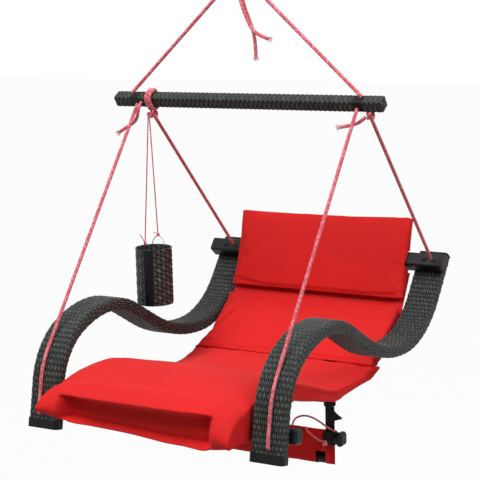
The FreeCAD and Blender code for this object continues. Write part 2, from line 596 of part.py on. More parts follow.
def build_ropes():
    """Four taut ropes from the spreader to the arms' legs and the rear bar, with their knots and tails."""
    centre, ride, touch = front_rope_run()
    tangent = along(centre, touch, ride)
    low = along(centre, leg + math.pi / 2, ride)
    turn_in = cell("rope_hole_rise")
    drop = cell("leg_length") - turn_in
    corner = along(low, leg + math.pi, drop)
    inside = along(corner, leg_side, ride - cell("shoulder_radius") + half_arm)
    bend = cell("rope_bend")
    bend_start = along(corner, leg, bend)
    bend_end = along(corner, leg_side, bend)
    bend_middle = along(along(along(corner, leg, bend), leg_side, bend), leg + 3 * math.pi / 4, bend)
    ride_middle = along(centre, (touch + leg + math.pi / 2) / 2, ride)
    stop = along(inside, leg_side, cell("rest_gap") + cell("knot_radius"))
    for side, sign in SIDES:
        x = sign * cell("front_rope_x")
        path = Part.Wire([
            Part.LineSegment(at_yz(x, spreader), at_yz(x, tangent)).toShape(),
            Part.Arc(at_yz(x, tangent), at_yz(x, ride_middle), at_yz(x, low)).toShape(),
            Part.LineSegment(at_yz(x, low), at_yz(x, bend_start)).toShape(),
            Part.Arc(at_yz(x, bend_start), at_yz(x, bend_middle), at_yz(x, bend_end)).toShape(),
            Part.LineSegment(at_yz(x, bend_end), at_yz(x, inside)).toShape(),
        ])
        tube(f"front_rope_{side}", path, rope)
        knot(f"front_rope_stop_{side}", "Sizes.knot_radius", "Sizes.knot_length",
             turned_x(x, stop, leg_degrees))
    lowest = spreader[1] - (cell("spreader_side") / 2 - cell("spreader_corner")) * (
        math.sin(roll) + math.cos(roll)) - cell("spreader_corner")
    wraps = rope + 2 * cell("rest_gap")
    hangs = (
        ("left", -cell("left_hitch_x"), lowest - wraps),
        ("right", cell("right_knot_x"), lowest - cell("rest_gap")),
    )
    for side, x, top in hangs:
        middle = Vector(x, spreader[0], top - cell("knot_length") / 2)
        knot(f"rear_knot_{side}", "Sizes.knot_radius", "Sizes.knot_length", Placement(middle, Rotation()))
        end = at_yz(math.copysign(cell(f"rear_rope_{side}_x"), x), rear_bar)
        start = middle + (end - middle).normalize() * cell("knot_start")
        straight_cord(f"rear_rope_{side}", start, end, "Sizes.rope_diameter")
    turns = []
    for turn in (-1, 1):
        spread = turn * (rope + cell("rest_gap")) / 2
        turns.append(hitch_turn(spread - cell("left_hitch_x")))
    hitch = doc.addObject("Part::Feature", "rear_hitch_left")
    hitch.Shape = Part.makeCompound(turns)
    keep(hitch, "rear_hitch_left")
    loose_cord("front_tail_left", FRONT_TAIL_LEFT, rope, Vector(-cell("front_rope_x"), 0, 0))
    loose_cord("rear_tail_right", REAR_TAIL_RIGHT, rope, Vector(cell("right_knot_x"), 0, 0))


def hitch_turn(x):
    """One turn of rope round the spreader bar at X."""
    stand = cell("rest_gap") + rope / 2
    flat = cell("spreader_side") / 2 - cell("spreader_corner")
    radius = cell("spreader_corner") + stand
    edges = []
    for quarter in range(4):
        facing = roll + quarter * math.pi / 2
        corner = along(along(spreader, facing, flat), facing + math.pi / 2, flat)
        nearest = along(along(spreader, facing, flat + radius), facing - math.pi / 2, flat)
        start = along(corner, facing, radius)
        middle = along(corner, facing + math.pi / 4, radius)
        end = along(corner, facing + math.pi / 2, radius)
        edges.append(Part.LineSegment(at_yz(x, nearest), at_yz(x, start)).toShape())
        edges.append(Part.Arc(at_yz(x, start), at_yz(x, middle), at_yz(x, end)).toShape())
    path = Part.Wire(edges)
    first = path.OrderedVertexes[0].Point
    heading = Vector(0, -math.sin(roll), math.cos(roll))
    return swept(path, Part.Wire([Part.Circle(first, heading, rope / 2).toShape()]))


# Arms: a bent core in a woven sleeve, closed by a foot cap and an end plate.
def arm_path(body):
    """The arm's centre line as a sketch of lines and arcs, each tied to its own sizes."""
    sketch = new_sketch(body, "centre_line", "YZ_Plane")
    point = Vector(0, 0, 0)
    heading = leg
    last = None
    for kind, size, turn, way in ARM_PATH:
        if kind == "line":
            end = point + Vector(math.cos(heading), math.sin(heading), 0) * cell(size)
            item = sketch.addGeometry(Part.LineSegment(point, end), False)
            begins, ends = 1, 2
        else:
            side = heading + way * math.pi / 2
            centre = point + Vector(math.cos(side), math.sin(side), 0) * cell(size)
            swing = way * math.radians(cell(turn))
            limits = sorted((side + math.pi, side + math.pi + swing))
            circle = Part.Circle(centre, Vector(0, 0, 1), cell(size))
            item = sketch.addGeometry(Part.ArcOfCircle(circle, *limits), False)
            begins, ends = (1, 2) if way > 0 else (2, 1)
            heading += swing
            side = heading - way * math.pi / 2
            end = centre + Vector(math.cos(side), math.sin(side), 0) * cell(size)
        if last is None:
            sketch.addConstraint(Sketcher.Constraint("Coincident", item, begins, -1, 1))
            bound(sketch, Sketcher.Constraint("Angle", item, leg), "Sizes.leg_heading")
        else:
            sketch.addConstraint(Sketcher.Constraint("Tangent", last[0], last[1], item, begins))
        if kind == "line":
            bound(sketch, Sketcher.Constraint("Distance", item, cell(size)), f"Sizes.{size}")
        else:
            bound(sketch, Sketcher.Constraint("Radius", item, cell(size)), f"Sizes.{size}")
            bound(sketch, Sketcher.Constraint("Angle", item, abs(swing)), f"Sizes.{turn}")
        last = (item, ends)
        point = end
    return sketch


def arm_band(label, sections, place):
    """A body swept along the arm's centre line from one or more round-cornered sections."""
    body = doc.addObject("PartDesign::Body", label)
    path = arm_path(body)
    across = Placement(Vector(0, 0, 0), Rotation(Vector(1, 0, 0), leg_degrees))
    profile = new_sketch(body, "section", "XY_Plane", across)
    for width, thickness, corner in sections:
        rounded_rectangle(profile, width, thickness, corner)
    band = body.newObject("PartDesign::AdditivePipe", "band")
    band.Profile = profile
    band.Spine = path
    doc.recompute()
    return keep(body, label, place)


def drill_arm(body, sign, mouth_depth):
    """The rope hole of one arm, widened where the rope turns in, and both of its bolt holes."""
    leg_out = Vector(0, math.cos(leg_side), math.sin(leg_side))
    rise_out = Vector(0, math.cos(rise_side), math.sin(rise_side))
    through = "Sizes.arm_thickness + 2 * Sizes.overrun"
    rope_x = sign * (cell("front_rope_x") - cell("arm_x"))
    rope_mouth = at_yz(rope_x, along((0, 0), leg, cell("rope_hole_rise")))
    rope_hole = "Sizes.rope_diameter + Sizes.rope_hole_play"
    drill(body, rope_mouth, leg_out, rope_hole, through)
    if mouth_depth is not None:
        drill(body, rope_mouth - leg_out * half_arm, leg_out, f"{rope_hole} + 2 * Sizes.rope_bend - Sizes.rope_diameter",
              mouth_depth)
    bolt_hole = "Sizes.bolt_diameter + 2 * Sizes.fit_gap"
    bolt_depth = "2 * Sizes.bolt_grip + 2 * Sizes.rest_gap"
    drill(body, at_yz(0, front_seat), leg_out, bolt_hole, bolt_depth)
    drill(body, at_yz(0, rear_seat), rise_out, bolt_hole, bolt_depth)


def build_arms():
    """Left and right arm: core, woven sleeve, foot cap and end plate."""
    skin = ("Sizes.arm_width", "Sizes.arm_thickness", "Sizes.arm_corner")
    hollow = tuple(f"{size} - 2 * Sizes.arm_wall" for size in skin[:2]) + ("Sizes.arm_corner - Sizes.arm_wall",)
    core = tuple(f"{size} - 2 * Sizes.fit_gap" for size in hollow[:2]) + (f"{hollow[2]} - Sizes.fit_gap",)
    arm_end, end_heading = stations[-1]
    for side, sign in SIDES:
        x = sign * cell("arm_x")
        place = Placement(at_yz(x, foot), Rotation())
        drill_arm(arm_band(f"arm_core_{side}", (core,), place), sign, None)
        drill_arm(arm_band(f"arm_sleeve_{side}", (skin, hollow), place), sign, "2 * Sizes.arm_wall")
        build_foot_cap(f"foot_cap_{side}", x)
        label = f"arm_end_cap_{side}"
        plate = doc.addObject("PartDesign::Body", label)
        section = new_sketch(plate, "section", "XY_Plane")
        rounded_rectangle(section, *skin)
        pad(plate, section, "Sizes.end_cap", symmetric=False)
        end = (foot[0] + arm_end[0], foot[1] + arm_end[1])
        keep(plate, label, turned_x(x, end, math.degrees(end_heading) - 90))


def build_foot_cap(label, x):
    """A shallow cup over the foot of one leg."""
    body = doc.addObject("PartDesign::Body", label)
    around = "2 * (Sizes.foot_cap_wall + Sizes.fit_gap)"
    section = new_sketch(body, "outside", "XY_Plane")
    rounded_rectangle(section, f"Sizes.arm_width + {around}", f"Sizes.arm_thickness + {around}",
                      "Sizes.arm_corner + Sizes.foot_cap_wall + Sizes.fit_gap")
    pad(body, section, "Sizes.foot_cap_height + Sizes.foot_cap_wall", symmetric=False)
    floor = Placement(Vector(0, 0, cell("foot_cap_wall") + cell("foot_cap_height")), Rotation())
    mouth = new_sketch(body, "inside", "XY_Plane", floor)
    rounded_rectangle(mouth, "Sizes.arm_width + 2 * Sizes.fit_gap", "Sizes.arm_thickness + 2 * Sizes.fit_gap",
                      "Sizes.arm_corner + Sizes.fit_gap")
    before = body.Shape.Volume
    hollow = body.newObject("PartDesign::Pocket", "hollow")
    hollow.Profile = mouth
    hollow.setExpression("Length", "Sizes.foot_cap_height")
    doc.recompute()
    if body.Shape.Volume >= before:
        raise RuntimeError(f"{label} has no hollow")
    keep(body, label, turned_x(x, along(foot, leg, -cell("foot_cap_wall")), leg_degrees))


# Cross bars, their caps, bolts and cloth pockets.
def bolts(label, seat, side_heading, bar_side):
    """Two domed bolts that go through a cross bar into the arms."""
    seat_world = (foot[0] + seat[0], foot[1] + seat[1])
    inward = Vector(0, math.cos(side_heading), math.sin(side_heading))
    solids = []
    for side, sign in SIDES:
        x = sign * cell("arm_x")
        tip = at_yz(x, seat_world) - inward * cell("bolt_grip")
        shank = bar_side + cell("bolt_grip")
        rod = Part.makeCylinder(cell("bolt_diameter") / 2, shank, tip, inward)
        seat_of_head = tip + inward * shank
        head = Part.makeCone(cell("bolt_head_diameter") / 2, cell("bolt_diameter") / 2, cell("bolt_head_height"),
                             seat_of_head, inward)
        solids.append(rod.fuse(head).removeSplitter())
    feature = doc.addObject("Part::Feature", label)
    feature.Shape = Part.makeCompound(solids)
    keep(feature, label)


def cross_bar(name, centre, degrees, seat, side_heading, wall=None):
    """One cross bar, a tube where a wall is given, with end caps, bolts and the cloth pocket round its middle."""
    side = f"Sizes.{name}_side"
    length = f"Sizes.{name}_length"
    hollow = () if wall is None else (f"{side} - 2 * {wall}", f"Sizes.bar_corner - {wall}")
    bar = square_bar(name, side, length, "Sizes.bar_corner", turned_x(0, centre, degrees), *hollow)
    for end, sign in SIDES:
        face = turned_x(sign * cell(f"{name}_length") / 2, centre, degrees)
        if sign < 0:
            face = Placement(face.Base, face.Rotation.multiply(Rotation(Vector(0, 0, 1), 180)))
        bar_cap(f"{name}_cap_{end}", side, "Sizes.bar_corner", face)
    for end, sign in SIDES:
        drill(bar, Vector(sign * cell("arm_x"), 0, 0), Vector(0, 0, 1), "Sizes.bolt_diameter + 2 * Sizes.fit_gap",
              f"{side} + 2 * Sizes.overrun")
    bolts(f"{name}_bolts", seat, side_heading, cell(f"{name}_side"))
    inside = f"{side} + 2 * Sizes.rest_gap"
    square_bar(f"{name}_pocket", f"{inside} + 2 * Sizes.pocket_wall", "2 * Sizes.pocket_half_width",
               "Sizes.bar_corner + Sizes.rest_gap + Sizes.pocket_wall", turned_x(0, centre, degrees),
               inside, "Sizes.bar_corner + Sizes.rest_gap")
    return bar


def build_cross_bars():
    """The front bar behind the legs and the rear bar on the arms' rise, which the rear ropes enter."""
    cross_bar("front_bar", front_bar, leg_degrees + 90, front_seat, leg_side)
    rear = cross_bar("rear_bar", rear_bar, rise_degrees, rear_seat, rise_side, "Sizes.rear_bar_wall")
    turn = rear.Placement.Rotation.inverted()
    for side, sign in SIDES:
        line = doc.getObject(f"rear_rope_{side}").Placement.Rotation.multVec(Vector(0, 0, -1))
        local = turn.multVec(line)
        mouth = Vector(sign * cell(f"rear_rope_{side}_x"), 0, 0) + local * cell("rear_bar_side") / 2
        drill(rear, mouth, local, "Sizes.rope_diameter + Sizes.rope_hole_play",
              "Sizes.rear_bar_side / 2 + 2 * Sizes.rest_gap")


# Cushions and sling.
def pad_loft(sections):
    """A closed cushion lofted through its sections."""
    solid = Part.makeLoft(sections, True, True)
    if not solid.isValid() or solid.Volume <= 0:
        raise RuntimeError("a cushion's loft failed")
    return solid


def flat_pad(name, length):
    """A crowned back cushion: local Y runs up its face, local Z out of it."""
    sections = []
    for out, fall, droop in PAD_STATION_SHARES:
        x = out * cell("pad_half_width")
        low = cell("seam_gap") + cell("pad_draw") * fall
        high = length - low
        face = -cell("pad_side_fall") * fall
        back = -cell("pad_end")
        puff = cell("seam_gap") / 2
        swell = cell(f"{name}_crown") * (1 - fall) - cell(f"{name}_sag")
        deep = -cell(f"{name}_thickness") - cell(f"{name}_sag")
        half = (face + back) / 2
        corners = [Vector(x, low, back), Vector(x, high, back), Vector(x, high, face), Vector(x, low, face)]
        sections.append(Part.Wire([
            Part.Arc(corners[0], Vector(x, length / 2, deep), corners[1]).toShape(),
            Part.Arc(corners[1], Vector(x, high + puff, half), corners[2]).toShape(),
            Part.Arc(corners[2], Vector(x, length / 2, face + swell), corners[3]).toShape(),
            Part.Arc(corners[3], Vector(x, low - puff, half), corners[0]).toShape(),
        ]))
    return pad_loft(sections)


def seat_seam():
    """The seam behind the seat in (Y, Z), between the two cross bars."""
    return (front_bar[0] + SEAM_SHARE * (rear_bar[0] - front_bar[0]), front_bar[1] + cell("seat_rise"))


def seat_point(share, fall, droop):
    """A point of the seat cushion's outline in (Y, Z), lowered by the side fall and its own front droop."""
    rear = seat_seam()
    depth = rear[0] - front_bar[0] + cell("nose_reach")
    floor = rear[1] - SEAT_TOP_SHARES[0][1] * cell("seat_height")
    lowered = fall * cell("pad_side_fall") + share[2] * droop * cell("nose_fall")
    return (rear[0] - share[0] * depth, floor + share[1] * cell("seat_height") - lowered)


def seat_points(fall, droop):
    """The seat cushion's outline in (Y, Z): its top, its nose, the step over the front bar, and its belly."""
    top = [seat_point(share, fall, droop) for share in SEAT_TOP_SHARES]
    nose = [seat_point(share, 0, droop) for share in SEAT_NOSE_SHARES]
    belly = [seat_point(share, 0, droop) for share in SEAT_BELLY_SHARES]
    half = cell("front_bar_side") / 2 + cell("pocket_wall") + 3 * cell("rest_gap")
    forward = leg_side + math.pi
    under_front = along(along(front_bar, forward, half), leg, -half)
    over_front = along(along(front_bar, forward, half), leg, half)
    over_rear = along(along(front_bar, forward, -half), leg, half)
    return top, nose, [(under_front[0], nose[-1][1]), over_front, over_rear], belly


def seat_section(x, fall, droop):
    """The seat cushion's outline at X: arcs over the top and nose, a step over the bar, and arcs below."""
    t, n, s, b = ([at_yz(x, point) for point in points] for points in seat_points(fall, droop))
    return Part.Wire([
        Part.Arc(t[0], t[1], t[2]).toShape(),
        Part.Arc(t[2], t[3], t[4]).toShape(),
        Part.Arc(t[4], t[5], t[6]).toShape(),
        Part.Arc(t[6], n[0], n[1]).toShape(),
        Part.Arc(n[1], n[2], n[3]).toShape(),
        Part.LineSegment(n[3], s[0]).toShape(),
        Part.LineSegment(s[0], s[1]).toShape(),
        Part.LineSegment(s[1], s[2]).toShape(),
        Part.Arc(s[2], b[0], b[1]).toShape(),
        Part.Arc(b[1], b[2], b[3]).toShape(),
        Part.Arc(b[3], b[4], t[0]).toShape(),
    ])


def back_places():
    """The lumbar and head cushions: where each face starts in (Y, Z), its heading and its length."""
    seam = seat_seam()
    starts = (
        (seam[0] + cell("seam_gap"), seam[1]),
        (rear_bar[0] - cell("back_seam_forward"), rear_bar[1] - cell("back_seam_drop")),
        (rear_bar[0] + cell("head_back"), rear_bar[1] + cell("head_rise")),
    )
    places = []
    for low, high in zip(starts, starts[1:]):
        heading = math.atan2(high[1] - low[1], high[0] - low[0])
        places.append((low, heading, math.dist(low, high)))
    return places


def build_cushions():
    """Head, lumbar and seat cushions, the head cushion hollowed where it leans on the rear bar."""
    (lumbar, lumbar_heading, lumbar_length), (head, head_heading, head_length) = back_places()
    lumbar_pad = doc.addObject("Part::Feature", "lumbar_cushion")
    lumbar_pad.Shape = flat_pad("lumbar", lumbar_length)
    keep(lumbar_pad, "lumbar_cushion", turned_x(0, lumbar, math.degrees(lumbar_heading)))
    place = turned_x(0, head, math.degrees(head_heading))
    room = cell("rear_bar_side") + 2 * cell("pocket_wall") + 4 * cell("rest_gap")
    width = 2 * cell("pad_half_width") + 2 * cell("overrun")
    bar_room = Part.makeBox(width, room, room, Vector(-width / 2, -room / 2, -room / 2))
    bar_room.Placement = turned_x(0, rear_bar, rise_degrees)
    bar_room.Placement = place.inverse().multiply(bar_room.Placement)
    head_pad = doc.addObject("Part::Feature", "head_cushion")
    head_pad.Shape = flat_pad("head", head_length).cut(bar_room)
    keep(head_pad, "head_cushion", place)
    seat_pad = doc.addObject("Part::Feature", "seat_cushion")
    seat_pad.Shape = pad_loft([
        seat_section(out * cell("pad_half_width"), fall, droop) for out, fall, droop in PAD_STATION_SHARES
    ])
    keep(seat_pad, "seat_cushion")


def lumbar_back():
    """The circle of the lumbar cushion's back: its centre in (Y, Z) and its radius."""
    lumbar, heading, length = back_places()[0]
    half = length / 2 - cell("seam_gap")
    deep = cell("lumbar_thickness") + cell("lumbar_sag")
    bow = deep - cell("pad_end")
    radius = (half**2 + bow**2) / (2 * bow)
    middle = along(lumbar, heading, length / 2)
    return along(middle, heading + math.pi / 2, radius - deep), radius


def build_sling():
    """The cloth sling, drawn tight from the rear bar's pocket round the cushions' backs to the front bar's."""
    stand = cell("rest_gap") + cell("sling_thickness") / 2
    centre, radius = lumbar_back()
    ride = radius + stand
    top, nose, step, belly = seat_points(0, 0)
    below = [(point[0], point[1] - stand - cell("sling_clear")) for point in belly]
    heel = seat_point(SLING_HEEL_SHARES, 0, 0)
    heel = (heel[0], heel[1] - stand)
    pocket = cell("rear_bar_side") / 2 + cell("pocket_wall") + 3 * cell("rest_gap")
    flat = cell("rear_bar_side") / 2 - cell("bar_corner")
    rear_end = along(along(rear_bar, rise_heading, -pocket), rise_side, -flat)
    front_gap = cell("front_bar_side") / 2 + cell("pocket_wall") + 4 * cell("rest_gap")
    front_end = along(front_bar, leg_side, front_gap)
    first = touching(heel, centre, ride, 1)
    last = touching(rear_end, centre, ride, -1)
    corner = along(centre, (first + last) / 2, ride / math.cos((last - first) / 2))
    points = [at_yz(0, point) for point in (rear_end, corner, heel, below[2], below[1], below[0], front_end)]
    path = route_wire(points, [ride] + soft_radii(points)[1:])
    half = cell("sling_half_width")
    across = Vector(half, 0, 0)
    start = points[0]
    heading = (points[1] - start).normalize()
    through = Vector(0, -heading.z, heading.y) * (cell("sling_thickness") / 2)
    corners = [start + across + through, start - across + through, start - across - through,
               start + across - through]
    section = Part.makePolygon(corners + corners[:1])
    sling = doc.addObject("Part::Feature", "sling")
    sling.Shape = swept(path, section)
    keep(sling, "sling")
    print(f"sling: flat size {2 * half:.0f} by {path.Length:.0f}")


# Stowed footrest, hung under the seat on two webbing straps.
def build_footrest():
    """Upper bar with caps, its hanging cloth, the lower dowel, two straps and the cord."""
    tab_top = sling_face() - cell("rest_gap")
    tab_low = tab_top - cell("anchor_height")
    pivot = (spreader[0] - cell("footrest_back"), tab_low - cell("rest_gap") - cell("strap_thickness") / 2)
    print(f"footrest pivot: {pivot[0]:.3f} {pivot[1]:.3f}")
    bar = (pivot[0], pivot[1] - cell("strap_reach"))
    axis_x = Rotation(Vector(0, 1, 0), 90)
    inner = cell("footrest_bar_diameter") / 2 + cell("rest_gap")
    hem = bar[1] - cell("panel_reach")
    dowel_z = hem - inner + cell("rest_gap") + cell("footrest_dowel_diameter") / 2
    rods = (
        ("footrest_bar", "footrest_bar", bar[1]),
        ("footrest_dowel", "footrest_dowel", dowel_z),
    )
    for label, name, height in rods:
        rod = doc.addObject("Part::Cylinder", label)
        rod.setExpression("Radius", f"Sizes.{name}_diameter / 2")
        rod.setExpression("Height", f"Sizes.{name}_length")
        keep(rod, label, Placement(Vector(-cell(f"{name}_length") / 2, bar[0], height), axis_x))
    for side, sign in SIDES:
        turn = Rotation() if sign > 0 else Rotation(Vector(0, 0, 1), 180)
        face = Placement(at_yz(sign * cell("footrest_bar_length") / 2, bar), turn)
        bar_cap(f"footrest_cap_{side}", "Sizes.footrest_cap_side", "Sizes.bar_corner", face)
    build_panel(bar, inner)
    for side, sign in SIDES:
        build_strap(f"footrest_strap_{side}", sign * cell("strap_x"), pivot, inner)
    tabs = []
    for side, sign in SIDES:
        low_x = sign * cell("strap_x") - cell("strap_width") / 2
        corner = Vector(low_x, pivot[0] - cell("anchor_depth") / 2, tab_low)
        tabs.append(Part.makeBox(cell("strap_width"), cell("anchor_depth"), cell("anchor_height"), corner))
    anchors = doc.addObject("Part::Feature", "strap_anchors")
    anchors.Shape = Part.makeCompound(tabs)
    keep(anchors, "strap_anchors")
    loose_cord("footrest_cord", FOOTREST_CORD, cell("tie_diameter"), at_yz(cell("strap_x"), bar))


def sling_face():
    """The sling's lowest height over a strap's tab."""
    low_x = cell("strap_x") - cell("strap_width") / 2
    low_y = spreader[0] - cell("footrest_back") - cell("anchor_depth") / 2
    box = nodes["sling"].Shape.BoundBox
    post = Part.makeBox(cell("strap_width"), cell("anchor_depth"), box.ZLength, Vector(low_x, low_y, box.ZMin))
    return post.common(nodes["sling"].Shape).BoundBox.ZMin


def slot(sketch, radius, reach):
    """A long hole standing on the sketch's Y axis, from its origin down by reach."""
    low = -reach
    sketch.addGeometry(Part.Arc(Vector(radius, 0, 0), Vector(0, radius, 0), Vector(-radius, 0, 0)), False)
    sketch.addGeometry(Part.LineSegment(Vector(-radius, 0, 0), Vector(-radius, low, 0)), False)
    sketch.addGeometry(Part.Arc(Vector(-radius, low, 0), Vector(0, low - radius, 0), Vector(radius, low, 0)), False)
    sketch.addGeometry(Part.LineSegment(Vector(radius, low, 0), Vector(radius, 0, 0)), False)


def build_panel(bar, inner):
    """The footrest's cloth, looped over bar and dowel, cut back at the straps and over the dowel's ends."""
    body = doc.addObject("PartDesign::Body", "footrest_panel")
    section = new_sketch(body, "section", "YZ_Plane")
    slot(section, inner + cell("panel_thickness"), cell("panel_reach"))
    slot(section, inner, cell("panel_reach"))
    pad(body, section, "2 * Sizes.panel_half_width")
    before = body.Shape.Volume
    notch = new_sketch(body, "notches", "XZ_Plane")
    outside = inner + cell("panel_thickness")
    hem = -cell("panel_reach") - outside - cell("overrun")
    strap_edge = cell("strap_x") - cell("strap_width") / 2 - cell("overrun") / 2
    strap_low = -inner - cell("strap_thickness") / 2 - cell("overrun") / 2
    openings = (
        (cell("notch_x"), cell("notch_x") + cell("notch_width"), hem, hem + cell("notch_height")),
        (strap_edge, cell("panel_half_width") + cell("overrun"), strap_low, outside + cell("overrun")),
    )
    for sign in (-1, 1):
        for near, far, low, high in openings:
            ring = [Vector(sign * near, low, 0), Vector(sign * far, low, 0), Vector(sign * far, high, 0),
                    Vector(sign * near, high, 0)]
            for first, second in zip(ring, ring[1:] + ring[:1]):
                notch.addGeometry(Part.LineSegment(first, second), False)
    cut = body.newObject("PartDesign::Pocket", "notch")
    cut.Profile = notch
    cut.setExpression("Length", "2 * Sizes.footrest_bar_diameter")
    cut.SideType = "Symmetric"
    doc.recompute()
    if body.Shape.Volume >= before:
        raise RuntimeError("the footrest's notches cut nothing")
    keep(body, "footrest_panel", Placement(at_yz(0, bar), Rotation()))


def build_strap(label, x, pivot, inner):
    """A webbing strap: a loop round the footrest's bar, and two plies up to the pivot."""
    body = doc.addObject("PartDesign::Body", label)
    section = new_sketch(body, "section", "YZ_Plane")
    outer = inner + cell("strap_thickness") / 2
    half = cell("strap_thickness") / 2
    centre = -cell("strap_reach")
    meet = centre + math.sqrt(outer**2 - half**2)
    section.addGeometry(Part.Arc(Vector(half, 0, 0), Vector(0, half, 0), Vector(-half, 0, 0)), False)
    section.addGeometry(Part.LineSegment(Vector(-half, 0, 0), Vector(-half, meet, 0)), False)
    section.addGeometry(Part.Arc(Vector(-half, meet, 0), Vector(0, centre - outer, 0), Vector(half, meet, 0)), False)
    section.addGeometry(Part.LineSegment(Vector(half, meet, 0), Vector(half, 0, 0)), False)
    section.addGeometry(Part.Circle(Vector(0, centre, 0), Vector(0, 0, 1), inner), False)
    pad(body, section, "Sizes.strap_width")
    keep(body, label, Placement(at_yz(x, pivot), Rotation()))


# Drink holder on two thin cords.
def build_cup():
    """Woven cup with its floor disc, a wire arch on the rim, two cords and the knot that they hang from."""
    x = -cell("left_hitch_x") - cell("knot_radius") - cell("cup_knot_radius") - cell("rest_gap")
    around = cell("cup_diameter") / 2
    box = nodes["arm_sleeve_left"].Shape.BoundBox
    post = Part.makeBox(2 * around, 2 * around, box.ZLength, Vector(x - around, spreader[0] - around, box.ZMin))
    arm_top = post.common(nodes["arm_sleeve_left"].Shape).BoundBox.ZMax
    print(f"arm under the drink holder: {arm_top:.3f}")
    rim = Vector(x, spreader[0], arm_top + cell("cup_clear") + cell("cup_height"))
    top = doc.getObject("rear_knot_left").Placement.Base
    hang = Vector(x, spreader[0], top.z)
    body = doc.addObject("PartDesign::Body", "cup_basket")
    section = new_sketch(body, "section", "XY_Plane")
    centred_circle(section, "Sizes.cup_diameter")
    centred_circle(section, "Sizes.cup_diameter - 2 * Sizes.cup_wall")
    pad(body, section, "Sizes.cup_height", symmetric=False)
    foot_of_cup = rim - Vector(0, 0, cell("cup_height"))
    keep(body, "cup_basket", Placement(foot_of_cup, Rotation()))
    disc = doc.addObject("Part::Cylinder", "cup_floor")
    disc.setExpression("Radius", "Sizes.cup_diameter / 2 - Sizes.cup_wall - Sizes.fit_gap")
    disc.setExpression("Height", "Sizes.cup_floor")
    keep(disc, "cup_floor", Placement(foot_of_cup, Rotation()))
    rim_radius = (cell("cup_diameter") - cell("cup_wall")) / 2
    arch_radius = cell("cup_arch_span") / 2
    arch_turn = math.radians(cell("cup_arch_angle"))
    chord = math.sqrt(rim_radius**2 - arch_radius**2)
    arch_base = rim + Vector(math.cos(arch_turn), math.sin(arch_turn), 0) * chord
    arch = doc.addObject("Part::Torus", "cup_arch")
    arch.setExpression("Radius1", "Sizes.cup_arch_span / 2")
    arch.setExpression("Radius2", "Sizes.cup_wire / 2")
    arch.Angle3 = 180
    upright = Rotation(Vector(0, 0, 1), cell("cup_arch_angle") - 90).multiply(Rotation(Vector(1, 0, 0), 90))
    keep(arch, "cup_arch", Placement(arch_base, upright))
    ball = doc.addObject("Part::Sphere", "cup_knot")
    ball.setExpression("Radius", "Sizes.cup_knot_radius")
    keep(ball, "cup_knot", Placement(hang, Rotation()))
    tie_turn = math.radians(cell("cup_tie_angle"))
    over = Vector(0, 0, 2 * cell("rest_gap"))
    arch_top = arch_base + Vector(0, 0, arch_radius + cell("cup_wire") / 2) + over
    tied = rim + Vector(math.cos(tie_turn), math.sin(tie_turn), 0) * rim_radius + over
    apart = arch_top - tied
    aside = Vector(apart.x, apart.y, 0).normalize() * (cell("cup_cord_diameter") + cell("rest_gap")) / 2
    below = hang - Vector(0, 0, cell("cup_knot_radius") + cell("fit_gap"))
    straight_cord("cup_cord_right", below + aside, arch_top, "Sizes.cup_cord_diameter")
    straight_cord("cup_cord_left", below - aside, tied, "Sizes.cup_cord_diameter")


def write_nodes():
    """Checks every object and writes each sub-part to its own file."""
    doc.recompute()
    for thing in doc.Objects:
        if "Invalid" in thing.State or "Error" in thing.State:
            raise RuntimeError(f"{thing.Label} is not built")
    for label, thing in nodes.items():
        if thing.Shape.isNull() or not thing.Shape.isValid():
            raise RuntimeError(f"{label} has no valid shape")
    for label, thing in nodes.items():
        thing.Shape.exportStep(f"parts/{label}.step")
    print(f"{len(nodes)} sub-parts")


build_hanger()
build_spreader()
build_ropes()
build_arms()
build_cross_bars()
build_cushions()
build_sling()
build_footrest()
build_cup()
write_nodes()
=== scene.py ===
"""Hanging swing lounger: woven arms, a padded red sling seat, ropes, a stowed footrest and a drink holder."""

import logging
import math
from collections.abc import Callable, Sequence
from dataclasses import dataclass, replace
from enum import Enum

import bpy
import numpy as np
from mathutils import Matrix, Vector, noise


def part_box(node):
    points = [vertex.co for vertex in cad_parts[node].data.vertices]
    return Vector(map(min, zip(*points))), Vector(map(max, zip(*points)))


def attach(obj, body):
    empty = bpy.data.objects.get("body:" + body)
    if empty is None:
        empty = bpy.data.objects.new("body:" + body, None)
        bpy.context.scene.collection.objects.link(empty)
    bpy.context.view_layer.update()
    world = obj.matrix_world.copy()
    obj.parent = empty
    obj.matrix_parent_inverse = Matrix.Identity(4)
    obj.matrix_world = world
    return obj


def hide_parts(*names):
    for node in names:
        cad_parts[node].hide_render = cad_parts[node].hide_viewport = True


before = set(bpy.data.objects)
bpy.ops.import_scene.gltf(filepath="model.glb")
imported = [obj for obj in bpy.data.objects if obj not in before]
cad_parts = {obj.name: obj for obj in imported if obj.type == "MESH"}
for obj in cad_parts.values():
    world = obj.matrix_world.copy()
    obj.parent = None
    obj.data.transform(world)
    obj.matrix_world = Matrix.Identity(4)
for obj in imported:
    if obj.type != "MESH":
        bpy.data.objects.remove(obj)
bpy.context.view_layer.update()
LOG = logging.getLogger("lounger")
STRAND_UV = "strands"
FULL_TURN = 2 * math.pi
GOLDEN_ANGLE = 2.399963
MERGE = 1e-5
SOFT_EDGE = 60.0
BAR_EDGE = 55.0
WEBBING_EDGE = 50.0
NO_EDGE = 180.0
STRIP_CROWN = 2.2
CROSS_SEED = 91.5

Point = tuple[float, float, float]
Colour = tuple[float, float, float]


class Body(Enum):
    """The CAD bodies that pieces ride on."""

    BRIDLE = "bridle"
    CHAIR = "chair"
    FOOTREST = "footrest"
    CUP = "cup_holder"


class Slot(Enum):
    """The record's material slots, which the build calls pass along but never use."""

    STEEL = "steel"
    ROPE = "rope"
    CUP_CORD = "cup_cord"
    WICKER = "wicker"
    CLOTH = "red_cloth"
    WEBBING = "webbing"


